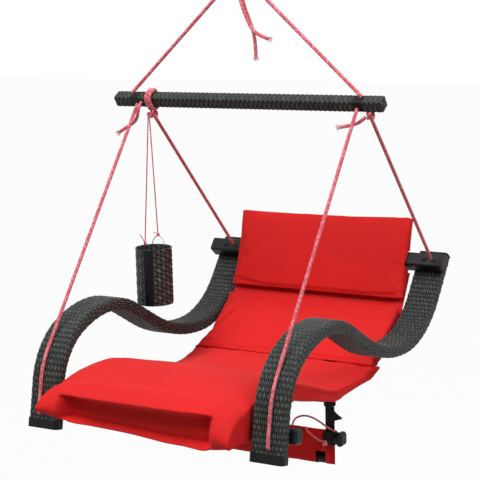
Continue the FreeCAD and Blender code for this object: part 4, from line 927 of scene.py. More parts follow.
def frayed_tail(node: str, route: Sequence[Point], diameter: float, body: Body) -> None:
    """A loose rope end that hangs, with a tuft at its tip.

    Args:
        node: The CAD node that it replaces.
        route: Its points, from where it is tied.
        diameter: The rope's thickness.
        body: The CAD body that it rides on.
    """
    Rope(f"{node}_braid", route, diameter).build(ROPE, body, Slot.ROPE, Lay.HANGING, "bare", node)
    heading = tuple(b - a for a, b in zip(route[-2], route[-1]))
    Tuft(f"{node}_fray", route[-1], heading).build(body)


@dataclass
class HangingGear:
    """The rings' rope: eye, knot, bridle ropes and their loose tails."""

    rope: float = 0.0092
    eye_centre: Point = (0.0, 0.0, -0.0935)
    eye_radius: float = 0.0096
    knot_centre: Point = (0.0, 0.0, -0.1254)
    knot_radius: float = 0.0115
    knot_height: float = 0.010
    bridle_start: float = 0.012
    half_span: float = 0.328
    pivot_z: float = -0.4264
    tail_long: tuple[Point, ...] = (
        (0.0, 0.0052, -0.143), (0.001, 0.0052, -0.172), (0.008, 0.0053, -0.205), (0.022, 0.0054, -0.240),
        (0.034, 0.0054, -0.272), (0.039, 0.0053, -0.303), (0.0395, 0.0052, -0.332))
    tail_short: tuple[Point, ...] = (
        (0.0, -0.0052, -0.143), (0.001, -0.0052, -0.172), (0.008, -0.0053, -0.205), (0.022, -0.0054, -0.240),
        (0.036, -0.0054, -0.266), (0.056, -0.0053, -0.281), (0.080, -0.0052, -0.289))

    def build_eye(self) -> None:
        """The rope eye round the lower ring and the knot under it."""
        count = 16
        x, y, z = self.eye_centre
        ring = []
        for index in range(count + 1):
            turn = FULL_TURN * index / count
            ring.append((x + self.eye_radius * math.sin(turn), y, z - self.eye_radius * math.cos(turn)))
        Rope("bridle_eye_rope", ring, self.rope).build(
            ROPE, Body.BRIDLE, Slot.ROPE, None, "knot", "bridle_eye")
        knot = knot_route(self.knot_centre, self.knot_radius, self.knot_height)
        Rope("bridle_knot_rope", knot, self.rope).build(
            ROPE, Body.BRIDLE, Slot.ROPE, None, "knot", "bridle_knot")

    def build_bridle(self) -> None:
        """The two taut bridle ropes."""
        apex = Vector(self.knot_centre)
        for side in Side:
            end = Vector((side.value * self.half_span, 0.0, self.pivot_z))
            start = apex + (end - apex).normalized() * self.bridle_start
            node = f"bridle_rope_{side.label}"
            Rope(f"{node}_braid", straight(tuple(start), tuple(end)), self.rope).build(
                ROPE, Body.BRIDLE, Slot.ROPE, Lay.TAUT, "object", node)

    def build_tails(self) -> None:
        """The knot's two frayed tails."""
        for node, route in (("bridle_tail_long", self.tail_long), ("bridle_tail_short", self.tail_short)):
            frayed_tail(node, route, self.rope, Body.BRIDLE)

    def build(self) -> None:
        """Builds the hanging gear and finishes the rings."""
        paint_nodes(BRIGHT_WIRE, "hanging_ring", "rope_ring")
        self.build_eye()
        self.build_bridle()
        self.build_tails()


@dataclass
class Spreader:
    """The woven spreader bar, the hitch round it and the knots under it."""

    centre: tuple[float, float] = (0.0102, -0.44407)
    roll: float = 30.0
    side: float = 0.0325
    corner: float = 0.006
    half_length: float = 0.3795
    end_fold: float = 0.005
    end_draw: float = 0.93
    columns: int = 96
    row_step: float = 0.0021
    strand_turns: int = 4
    strand_pitch: float = 0.013
    relief: float = 0.0022
    relief_level: float = 0.45
    patch_x: float = 0.3185
    patch_half: float = 0.0125
    patch_edge: float = 0.002
    rope: float = 0.0092
    hitch_x: float = -0.272
    hitch_stand: float = 0.0054
    hitch_corner: float = 1.22
    hitch_pitch: float = 1.05
    knot_share: float = 0.9
    knots: tuple[tuple[str, Point], ...] = (
        ("rear_knot_left", (-0.272, 0.0102, -0.4825)), ("rear_knot_right", (0.345, 0.0102, -0.4722)))
    knot_radius: float = 0.0082
    knot_height: float = 0.0062
    tail_left: tuple[Point, ...] = (
        (-0.300, -0.0034, -0.4519), (-0.300, -0.015, -0.460), (-0.301, -0.018, -0.474),
        (-0.309, -0.011, -0.490), (-0.322, -0.006, -0.503), (-0.340, -0.003, -0.512), (-0.357, -0.001, -0.521),
        (-0.373, 0.0, -0.530))
    tail_right: tuple[Point, ...] = (
        (0.3326, 0.011, -0.476), (0.324, 0.010, -0.484), (0.312, 0.009, -0.491), (0.296, 0.008, -0.496),
        (0.281, 0.007, -0.499), (0.268, 0.006, -0.501))

    def build_sleeve(self) -> None:
        """The braided sleeve, plain round the rope holes and drawn in over the ends."""
        points, outs, shares = rounded_square(self.side, self.side, self.corner, self.columns)
        reach = self.half_length + self.end_fold
        marks = np.linspace(-reach, reach, int(2 * reach / self.row_step) + 1)
        fold = np.clip((np.abs(marks) - self.half_length) / self.end_fold, 0.0, 1.0)
        shrink = np.sqrt(1 - (self.end_draw * fold) ** 2)
        around = self.strand_turns * np.append(shares, 1.0)
        along = (marks / self.strand_pitch)[:, None]
        strands = np.stack([around[None, :] + along, around[None, :] - along], -1)
        plain = np.clip((np.abs(np.abs(marks) - self.patch_x) - self.patch_half) / self.patch_edge, 0.0, 1.0)
        woven = strand_relief(strands[:, :-1, 0], strands[:, :-1, 1]) * plain[:, None]
        lift = self.relief * (woven - self.relief_level)
        flat = points[None] * shrink[:, None, None] + outs[None] * lift[:, :, None]
        section = turned(flat.reshape(-1, 2), self.roll).reshape(len(marks), self.columns, 2)
        yz = section + np.array(self.centre)
        rows = np.concatenate([np.repeat(marks[:, None, None], self.columns, 1), yz], -1)
        strands = np.where(plain[:, None, None] > 0, strands, 0.0)
        piece = surface_grid("spreader_braid", rows, strands, closed=True)
        close_ends(piece)
        smooth_shading(piece, BAR_EDGE)
        dress(piece, BRAID, Body.CHAIR, Slot.WICKER, "spreader_sleeve", "spreader_cap_left",
              "spreader_cap_right")

    def build_hitch(self) -> None:
        """Two turns of rope round the bar, one lying over to the knot's side."""
        count = 16
        turns = 2
        stand = self.side / 2 + self.hitch_stand
        points = []
        for index in range(turns * count + 1):
            turn = FULL_TURN * index / count
            square = 1 / max(abs(math.cos(turn)), abs(math.sin(turn)))
            reach = stand * min(square, self.hitch_corner)
            flat = turned(np.array(((reach * math.cos(turn), reach * math.sin(turn)),)), self.roll)[0]
            x = self.hitch_x + self.rope * (index / count - turns / 2) * self.hitch_pitch
            points.append((x, self.centre[0] + flat[0], self.centre[1] + flat[1]))
        Rope("rear_hitch_rope", points, self.rope).build(
            ROPE, Body.CHAIR, Slot.ROPE, None, "knot", "rear_hitch_left")

    def build_knots(self) -> None:
        """The knots under the bar and the loose tails."""
        for node, centre in self.knots:
            route = knot_route(centre, self.knot_radius, self.knot_height)
            Rope(f"{node}_rope", route, self.rope * self.knot_share).build(
                ROPE, Body.CHAIR, Slot.ROPE, None, "knot", node)
        for node, route in (("front_tail_left", self.tail_left), ("rear_tail_right", self.tail_right)):
            frayed_tail(node, route, self.rope, Body.CHAIR)

    def build(self) -> None:
        """Builds the bar and what is tied to it."""
        paint_nodes(BLACK_WOOD, "spreader_core")
        self.build_sleeve()
        self.build_hitch()
        self.build_knots()


@dataclass
class Suspension:
    """The four ropes from the bar to the chair."""

    rope: float = 0.0092
    front_x: float = 0.315
    front_flat: tuple[tuple[float, float], ...] = (
        (0.0030, -0.4535), (-0.3938, -0.9731), (-0.4468, -1.0425), (-0.4635, -1.1283), (-0.4674, -1.1484),
        (-0.4701, -1.1621), (-0.4505, -1.1659))
    stop_flat: tuple[float, float] = (-0.4285, -1.1702)
    stop_radius: float = 0.0075
    stop_height: float = 0.0062
    stop_share: float = 0.85
    rear: tuple[tuple[Side, Point, Point], ...] = (
        (Side.LEFT, (-0.2722, 0.0190, -0.4913), (-0.286, 0.4333, -0.9067)),
        (Side.RIGHT, (0.3446, 0.0188, -0.4810), (0.326, 0.4333, -0.9067)))

    def build(self) -> None:
        """Builds the ropes and the stop knots behind the legs."""
        for side in Side:
            x = side.value * self.front_x
            route = [(x, y, z) for y, z in self.front_flat]
            node = f"front_rope_{side.label}"
            Rope(f"{node}_braid", route, self.rope).build(
                ROPE, Body.CHAIR, Slot.ROPE, Lay.TAUT, "object", node)
            stop = knot_route((x, *self.stop_flat), self.stop_radius, self.stop_height)
            Rope(f"{node}_knot", stop, self.rope * self.stop_share).build(
                ROPE, Body.CHAIR, Slot.ROPE, None, "knot", f"front_rope_stop_{side.label}")
        for side, start, end in self.rear:
            node = f"rear_rope_{side.label}"
            Rope(f"{node}_braid", straight(start, end), self.rope).build(
                ROPE, Body.CHAIR, Slot.ROPE, Lay.TAUT, "object", node)


@dataclass
class Arms:
    """The two woven S-shaped arms with their feet and end plates."""

    foot: tuple[float, float] = (-0.4551, -1.1966)
    heading: float = 79.0
    bends: tuple[tuple[float, float], ...] = (
        (0.109, 0.0), (0.165, -54.0), (0.300, -25.0), (0.220, -30.0), (0.104, 0.0), (0.460, 30.0),
        (0.250, 51.0), (0.125, 0.0))
    x: float = 0.3085
    width: float = 0.083
    thickness: float = 0.032
    corner: float = 0.009
    columns: int = 200
    row_step: float = 0.0024
    strands_around: int = 40
    cross_pitch: float = 0.0135
    relief: float = 0.0022
    relief_level: float = 0.4

    def centre_line(self) -> tuple[np.ndarray, np.ndarray]:
        """The arm's centre line in (Y, Z) and its heading at each point."""
        heading = math.radians(self.heading)
        at = np.array(self.foot)
        points, headings = [], []
        for size, degrees in self.bends:
            turn = math.radians(degrees)
            length = size if turn == 0 else size * abs(turn)
            count = max(int(length / self.row_step), 2)
            for index in range(count):
                share = index / count
                points.append(self.along(at, heading, size, turn, share))
                headings.append(heading + turn * share)
            at = self.along(at, heading, size, turn, 1.0)
            heading += turn
        points.append(at)
        headings.append(heading)
        return np.array(points), np.array(headings)

    def along(self, start: np.ndarray, heading: float, size: float, turn: float, share: float) -> np.ndarray:
        """A point on a straight run or a bend of the centre line.

        Args:
            start: Where the run begins.
            heading: Its heading there.
            size: The run's length, or the bend's radius.
            turn: The bend's whole turn, zero for a straight run.
            share: How much of it is travelled.

        Returns:
            The point in (Y, Z).
        """
        if turn == 0:
            return start + size * share * np.array((math.cos(heading), math.sin(heading)))
        way = math.copysign(1.0, turn)
        middle = start + size * way * np.array((-math.sin(heading), math.cos(heading)))
        ahead = heading + turn * share
        return middle - size * way * np.array((-math.sin(ahead), math.cos(ahead)))

    def build_sleeve(self, side: Side) -> None:
        """One arm's woven sleeve."""
        line, headings = self.centre_line()
        points, outs, shares = rounded_square(self.width, self.thickness, self.corner, self.columns)
        travel = travelled(line)
        around = self.strands_around * np.append(shares, 1.0)
        grid_u = np.repeat(around[None, :], len(line), 0)
        grid_v = np.repeat((travel / self.cross_pitch)[:, None], len(around), 1)
        strands = np.stack([grid_u, grid_v], -1)
        woven = strand_relief(strands[:, :-1, 0], strands[:, :-1, 1], STRIP_DROP)
        lift = self.relief * (woven - self.relief_level)
        flat = points[None] + outs[None] * lift[:, :, None]
        upright = np.stack([-np.sin(headings), np.cos(headings)], -1)
        yz = line[:, None, :] + upright[:, None, :] * flat[:, :, 1:2]
        x = side.value * self.x + flat[:, :, 0:1]
        rows = np.concatenate([x, yz], -1)
        node = f"arm_sleeve_{side.label}"
        piece = surface_grid(f"arm_weave_{side.label}", rows, strands, closed=True)
        close_ends(piece)
        smooth_shading(piece, SOFT_EDGE)
        dress(piece, WICKER, Body.CHAIR, Slot.WICKER, node)

    def build(self) -> None:
        """Builds both arms and finishes their caps and cores."""
        for side in Side:
            self.build_sleeve(side)
            paint_nodes(BLACK_PLASTIC, f"foot_cap_{side.label}", f"arm_end_cap_{side.label}")
            paint_nodes(BLACK_WOOD, f"arm_core_{side.label}")


@dataclass
class CrossBars:
    """The front and rear bars, their caps and bolts, and the cloth pockets round them."""

    front: tuple[float, float] = (-0.41028, -1.14416)
    front_turn: float = 79.0
    rear: tuple[float, float] = (0.43333, -0.90668)
    rear_turn: float = 51.0
    front_side: float = 0.0396
    rear_side: float = 0.0436
    corner: float = 0.0088
    half_width: float = 0.236
    columns: int = 64
    row_step: float = 0.006
    wrinkle: float = 0.0009
    ripples: Point = (60.0, 9.0, 90.0)
    cloth: float = 0.0009
    flat_share: float = 0.94

    def build_pocket(self, node: str, centre: tuple[float, float], degrees: float, side: float) -> None:
        """A cloth pocket round a bar, slightly gathered along its length.

        Args:
            node: The CAD pocket that it replaces.
            centre: The bar's middle in (Y, Z).
            degrees: The bar's turn about X.
            side: The pocket's outside.
        """
        points, outs, shares = rounded_square(side, side, self.corner, self.columns)
        marks = np.linspace(-self.half_width, self.half_width, int(2 * self.half_width / self.row_step) + 1)
        along, around, seed = self.ripples
        ripple = np.array([[noise.noise(Vector((mark * along, share * around, side * seed)))
                            for share in shares] for mark in marks])
        flat = points[None] + outs[None] * (self.wrinkle * (ripple - 1))[:, :, None]
        yz = turned(flat, degrees) + np.array(centre)
        rows = np.concatenate([np.repeat(marks[:, None, None], self.columns, 1), yz], -1)
        strands = np.zeros((len(marks), self.columns + 1, 2))
        piece = surface_grid(f"{node}_cloth", rows, strands, closed=True)
        thicken(piece, self.cloth, -1.0)
        smooth_shading(piece, SOFT_EDGE)
        dress(piece, RED_CLOTH, Body.CHAIR, Slot.CLOTH, node)

    def build(self) -> None:
        """Builds the pockets and finishes the bars."""
        paint_nodes(BLACK_WOOD, "front_bar")
        paint_nodes(BLACK_PAINT, "rear_bar", "front_bar_bolts", "rear_bar_bolts")
        for side in Side:
            paint_nodes(BLACK_PLASTIC, f"front_bar_cap_{side.label}", f"rear_bar_cap_{side.label}")
        self.build_pocket("front_bar_pocket", self.front, self.front_turn, self.front_side)
        self.build_pocket("rear_bar_pocket", self.rear, self.rear_turn, self.rear_side)


@dataclass
class Cushions:
    """The head, lumbar and seat cushions, swollen as sewn covers over foam, and the sling under them."""

    low_seam: tuple[float, float] = (0.1658, -1.1285)
    high_seam: tuple[float, float] = (0.3639, -0.9991)
    lumbar_heading: float = 33.4
    lumbar_length: float = 0.235
    head_heading: float = 70.6
    head_length: float = 0.217
    voxel: float = 0.006
    inset: float = 0.002
    cap: float = 0.005
    pressure: float = 4.0
    slack: float = -0.004
    frames: int = 20
    cloth_quality: int = 5
    cloth_mass: float = 0.3
    tension: float = 12.0
    compression: float = 8.0
    bending: float = 0.6
    fill: float = 0.6
    seam_reach: float = 0.012
    pucker: float = 0.0006
    pucker_reach: float = 0.022
    puckers: Point = (55.0, 9.0, 9.0)
    panel_middle: float = 0.005
    panel_half: float = 0.217
    panel_blend: float = 0.03
    panel_back: float = -0.50
    panel_depth: float = 0.045
    panel_ledge: tuple[float, float] = (-0.02, 0.10)
    panel_top: float = 0.14
    hem_z: float = -1.141
    crease_z: float = -1.083
    lip: float = 0.009
    lip_height: float = 0.010
    sag_line: tuple[tuple[float, float], ...] = (
        (-0.28, -0.014), (-0.25, -0.008), (-0.21, 0.003), (-0.03, 0.013), (0.08, 0.021), (0.20, 0.021),
        (0.24, 0.015), (0.28, 0.009))
    sag_window: tuple[float, float] = (0.34, 0.40)
    edge_line: tuple[tuple[float, float], ...] = (
        (-0.38, -1.138), (-0.30, -1.126), (-0.235, -1.1185), (-0.20, -1.129), (-0.15, -1.146),
        (-0.10, -1.162), (-0.05, -1.177), (-0.02, -1.1775), (0.0, -1.1745), (0.05, -1.1725),
        (0.10, -1.1692), (0.13, -1.1685), (0.145, -1.163), (0.155, -1.156), (0.1615, -1.148),
        (0.1658, -1.140), (0.20, -1.138))
    edge_window: tuple[float, float] = (-0.395, -0.355)
    side_groove: float = 0.005
    groove_depth: float = 0.5
    groove_width: float = 0.16
    groove_window: tuple[float, float] = (-0.06, 0.0)
    side_band: tuple[float, float] = (0.20, 0.258)
    side_flare: float = 0.008
    flare_window: tuple[float, float] = (-0.22, -0.05)
    shoulder_line: tuple[tuple[float, float], ...] = (
        (-0.22, 0.0), (-0.03, 0.024), (0.10, 0.022), (0.165, 0.004))
    shoulder_band: tuple[float, float] = (0.15, 0.262)
    seam_dip: float = 0.005
    dip_window: tuple[float, float] = (0.150, 0.166)
    tip_window: tuple[float, float] = (0.06, 0.165)
    tip_band: tuple[float, float] = (0.12, 0.25)
    tip_back: float = 0.024
    tip_out: float = 0.009
    lumbar_draw: float = 0.014
    lumbar_drop: float = 0.003
    lumbar_flare: float = 0.002
    flare_reach: float = 0.08
    fold_line: tuple[tuple[float, float], ...] = ((-0.262, 0.062), (-0.182, 0.190))
    fold_depth: float = 0.013
    fold_width: float = 0.0075
    fold_start: float = 0.16
    fold_fade: float = 0.5
    fold_floor: tuple[float, float] = (-0.026, -0.018)
    puff_height: float = 0.004
    puff_gap: float = 0.024
    puff_width: float = 0.014
    draw_reach: float = 0.05
    head_rise: float = 0.008
    head_lean: float = 0.006
    sling_half_width: float = 0.250
    sling_widths: tuple[tuple[float, float], ...] = (
        (-0.39, 0.250), (0.05, 0.250), (0.12, 0.232), (0.26, 0.232), (0.33, 0.262), (0.43, 0.262))
    sling_window: tuple[float, float] = (0.10, 0.16)
    sling_ends: tuple[float, float] = (-0.3865, 0.4275)
    sling_band: tuple[float, float] = (0.19, 0.25)
    sling_cover: float = 0.004
    sling_thickness: float = 0.0016
    sling_rows: int = 160
    sling_columns: int = 60
    level_marks: int = 60
    far: float = 3.0

    def levels(self, node: str, marks: np.ndarray) -> tuple[np.ndarray, np.ndarray, np.ndarray]:
        """The heights of a CAD node's top and underside along its middle.

        Args:
            node: The CAD node.
            marks: Places along Y.

        Returns:
            The places that hit the node, its tops and its undersides.
        """
        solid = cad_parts[node]
        found = []
        for mark in marks:
            above = solid.ray_cast(Vector((0.0, mark, self.far)), Vector((0.0, 0.0, -1.0)))
            below = solid.ray_cast(Vector((0.0, mark, -self.far)), Vector((0.0, 0.0, 1.0)))
            if above[0] and below[0]:
                found.append((mark, above[1].z, below[1].z))
        return tuple(np.array(found).T)

    def edge(self, y: np.ndarray) -> np.ndarray:
        """How low the seat's sides hang at each place along Y."""
        marks, lows = np.array(self.edge_line).T
        return np.interp(y, marks, lows)

    def shape_seat(self, rows: np.ndarray) -> np.ndarray:
        """Sinks the front panel, hangs the sides over the sling and draws the rear corners out."""
        x, y, z = rows.T.copy()
        wide = np.abs(x)
        panel = ease(self.panel_half - np.abs(x - self.panel_middle), 0.0, self.panel_blend)
        panel = panel * ease(self.panel_back - y, 0.0, self.panel_blend)
        share = (z - self.hem_z) / (self.crease_z - self.hem_z)
        sag = np.interp(x, *np.array(self.sag_line).T) * ease(-y, *self.sag_window)
        sag = sag * np.clip(1 - share, 0.0, 1.0)
        lip = np.exp(-(((z - self.crease_z) / self.lip_height) ** 2))
        sunk = self.panel_depth * ease(share, *self.panel_ledge) * ease(1 - share, 0.0, self.panel_top)
        y = y + panel * (sunk - self.lip * lip)
        places = np.linspace(self.edge_window[0], self.low_seam[0], self.level_marks)
        marks, tops, floors = self.levels("seat_cushion", places)
        top = np.interp(y, marks, tops)
        floor = np.interp(y, marks, floors)
        depth = np.clip((top - z) / (top - floor), 0.0, 1.0)
        side = ease(wide, *self.side_band) * ease(y, *self.edge_window)
        z = z - depth * side * (floor - self.edge(y))
        groove = side * np.exp(-(((depth - self.groove_depth) / self.groove_width) ** 2))
        groove = groove * (1 - ease(y, *self.groove_window))
        flare = side * depth * ease(y, *self.flare_window)
        x = x + np.sign(x) * (self.side_flare * flare - self.side_groove * groove)
        shoulder = np.interp(y, *np.array(self.shoulder_line).T) * ease(wide, *self.shoulder_band)
        z = z - shoulder * (1 - depth)
        z = z - self.seam_dip * ease(y, *self.dip_window) * (1 - depth)
        corner = ease(y, *self.tip_window) * ease(wide, *self.tip_band)
        return np.stack([x + np.sign(x) * self.tip_out * corner, y + self.tip_back * corner, z - sag], -1)

    def along(self, rows: np.ndarray, start: tuple[float, float],
              degrees: float) -> tuple[np.ndarray, np.ndarray]:
        """How far each point lies up a cushion from its lower seam.

        Args:
            rows: The points.
            start: The lower seam in (Y, Z).
            degrees: The cushion's heading.

        Returns:
            The distances and the heading as a vector.
        """
        turn = math.radians(degrees)
        ahead = np.array((0.0, math.cos(turn), math.sin(turn)))
        return (rows - np.array((0.0, *start))) @ ahead, ahead

    def fold(self, rows: np.ndarray) -> np.ndarray:
        """The fold pressed across the lumbar cushion's left corner.

        Args:
            rows: The points.

        Returns:
            How each point moves.
        """
        travel, ahead = self.along(rows, self.low_seam, self.lumbar_heading)
        above = np.array((0.0, -ahead[2], ahead[1]))
        height = (rows - np.array((0.0, *self.low_seam))) @ above
        start, end = np.array(self.fold_line)
        run = end - start
        flat = np.stack([rows[:, 0], travel], -1) - start
        share = np.clip(flat @ run / (run @ run), 0.0, 1.0)
        gap = np.linalg.norm(flat - share[:, None] * run, axis=1)
        aside = (flat[:, 0] * run[1] - flat[:, 1] * run[0]) / np.linalg.norm(run)
        puffed = self.puff_height * np.exp(-((gap - self.puff_gap) / self.puff_width) ** 2) * (aside > 0)
        lift = puffed - self.fold_depth * np.exp(-((gap / self.fold_width) ** 2))
        lift = lift * (1 - ease(share, self.fold_fade, 1.0)) * ease(height, *self.fold_floor)
        lift = lift * ease(share, 0.0, self.fold_start)
        return above * lift[:, None]

    def shape_lumbar(self, rows: np.ndarray) -> np.ndarray:
        """Draws the upper edge down from the seam and flares the lower corners."""
        travel, ahead = self.along(rows, self.low_seam, self.lumbar_heading)
        draw = self.lumbar_draw * ease(travel, self.lumbar_length - self.draw_reach, self.lumbar_length)
        drop = self.lumbar_drop * ease(self.draw_reach - travel, 0.0, self.draw_reach)
        flare = ease(np.abs(rows[:, 0]), *self.tip_band)
        flare = flare * ease(self.flare_reach - travel, 0.0, self.flare_reach)
        moved = rows - (draw + drop)[:, None] * ahead
        moved[:, 0] += np.sign(rows[:, 0]) * self.lumbar_flare * flare
        return moved

    def shape_head(self, rows: np.ndarray) -> np.ndarray:
        """Draws the upper edge up square, a little higher on the right."""
        travel, ahead = self.along(rows, self.high_seam, self.head_heading)
        rise = self.head_rise + self.head_lean * ease(rows[:, 0], 0.0, self.tip_band[1])
        rise = rise * ease(travel, self.head_length - self.draw_reach, self.head_length)
        return rows + rise[:, None] * ahead

    def from_seams(self, rows: np.ndarray) -> np.ndarray:
        """How far each point lies from the nearest seam line, across X."""
        gaps = [np.hypot(rows[:, 1] - y, rows[:, 2] - z) for y, z in (self.low_seam, self.high_seam)]
        return np.min(gaps, axis=0)

    def swell(self, piece: bpy.types.Object) -> None:
        """Swells a cushion's cover with cloth, held at its seams."""
        rest = coordinates(piece)
        held = piece.vertex_groups.new(name="held")
        near = np.nonzero(self.from_seams(rest) < self.seam_reach)[0]
        held.add(near.tolist(), 1.0, "REPLACE")
        cover = piece.modifiers.new("cover", "CLOTH")
        settings = cover.settings
        settings.quality = self.cloth_quality
        settings.mass = self.cloth_mass
        settings.tension_stiffness = self.tension
        settings.compression_stiffness = self.compression
        settings.bending_stiffness = self.bending
        settings.shrink_min = self.slack
        settings.use_pressure = True
        settings.uniform_pressure_force = self.pressure
        settings.effector_weights.gravity = 0.0
        settings.vertex_group_mass = held.name
        cover.point_cache.frame_start = 1
        cover.point_cache.frame_end = self.frames
        scene = bpy.context.scene
        for number in range(1, self.frames + 1):
            scene.frame_set(number)
        apply_modifiers(piece)
        scene.frame_set(1)
        moved = coordinates(piece) - rest
        far = np.linalg.norm(moved, axis=1)
        share = np.minimum(1.0, self.cap / np.maximum(far, MERGE))
        move_to(piece, rest + moved * share[:, None])
        LOG.info("%s swelled by %.4f m at most", piece.name, far.max())

    def gather(self, piece: bpy.types.Object) -> None:
        """Small puckers along the seams, and the lumbar cushion's fold."""
        rows = coordinates(piece)
        near = np.exp(-((self.from_seams(rows) / self.pucker_reach) ** 2))
        ripple = np.array([noise.noise(Vector(row)) for row in rows * np.array(self.puckers)])
        move_to(piece, rows + normals(piece) * (self.pucker * near * ripple)[:, None] + self.fold(rows))

    def build_pad(self, node: str, shape: Callable[[np.ndarray], np.ndarray]) -> None:
        """One cushion.

        Args:
            node: The CAD cushion that it replaces.
            shape: What turns its points from the CAD form to the sewn one.
        """
        piece = node_copy(node, f"{node}_cover")
        piece.data.remesh_voxel_size = self.voxel
        only(piece)
        bpy.ops.object.voxel_remesh()
        move_to(piece, coordinates(piece) - normals(piece) * self.inset)
        move_to(piece, shape(coordinates(piece)))
        self.swell(piece)
        subdivide_smoothly(piece, 1)
        self.gather(piece)
        smooth_shading(piece, NO_EDGE)
        dress(piece, RED_CLOTH, Body.CHAIR, Slot.CLOTH, node)

    def build_sling(self) -> None:
        """The sling cloth, tight under the cushions from bar to bar, its hems higher beside the seat."""
        marks, _, floors = self.levels("sling", np.linspace(*self.sling_ends, self.sling_rows))
        half = np.interp(marks, *np.array(self.sling_widths).T)
        across = np.linspace(-1.0, 1.0, self.sling_columns)
        x = half[:, None] * across[None, :]
        raised = np.maximum(self.edge(marks) + self.sling_cover - floors, 0.0)
        raised = raised * ease(marks, *self.edge_window) * (1 - ease(marks, *self.sling_window))
        z = floors[:, None] + raised[:, None] * ease(np.abs(x), *self.sling_band)
        rows = np.stack([x, np.repeat(marks[:, None], len(across), 1), z], -1)
        piece = surface_grid("sling_cloth", rows, np.zeros((*rows.shape[:2], 2)), closed=False)
        thicken(piece, self.sling_thickness, 1.0)
        outward(piece)
        smooth_shading(piece, SOFT_EDGE)
        dress(piece, RED_CLOTH, Body.CHAIR, Slot.CLOTH, "sling")

    def build(self) -> None:
        """Builds the three cushions and the sling."""
        self.build_pad("seat_cushion", self.shape_seat)
        self.build_pad("lumbar_cushion", self.shape_lumbar)
        self.build_pad("head_cushion", self.shape_head)
        self.build_sling()


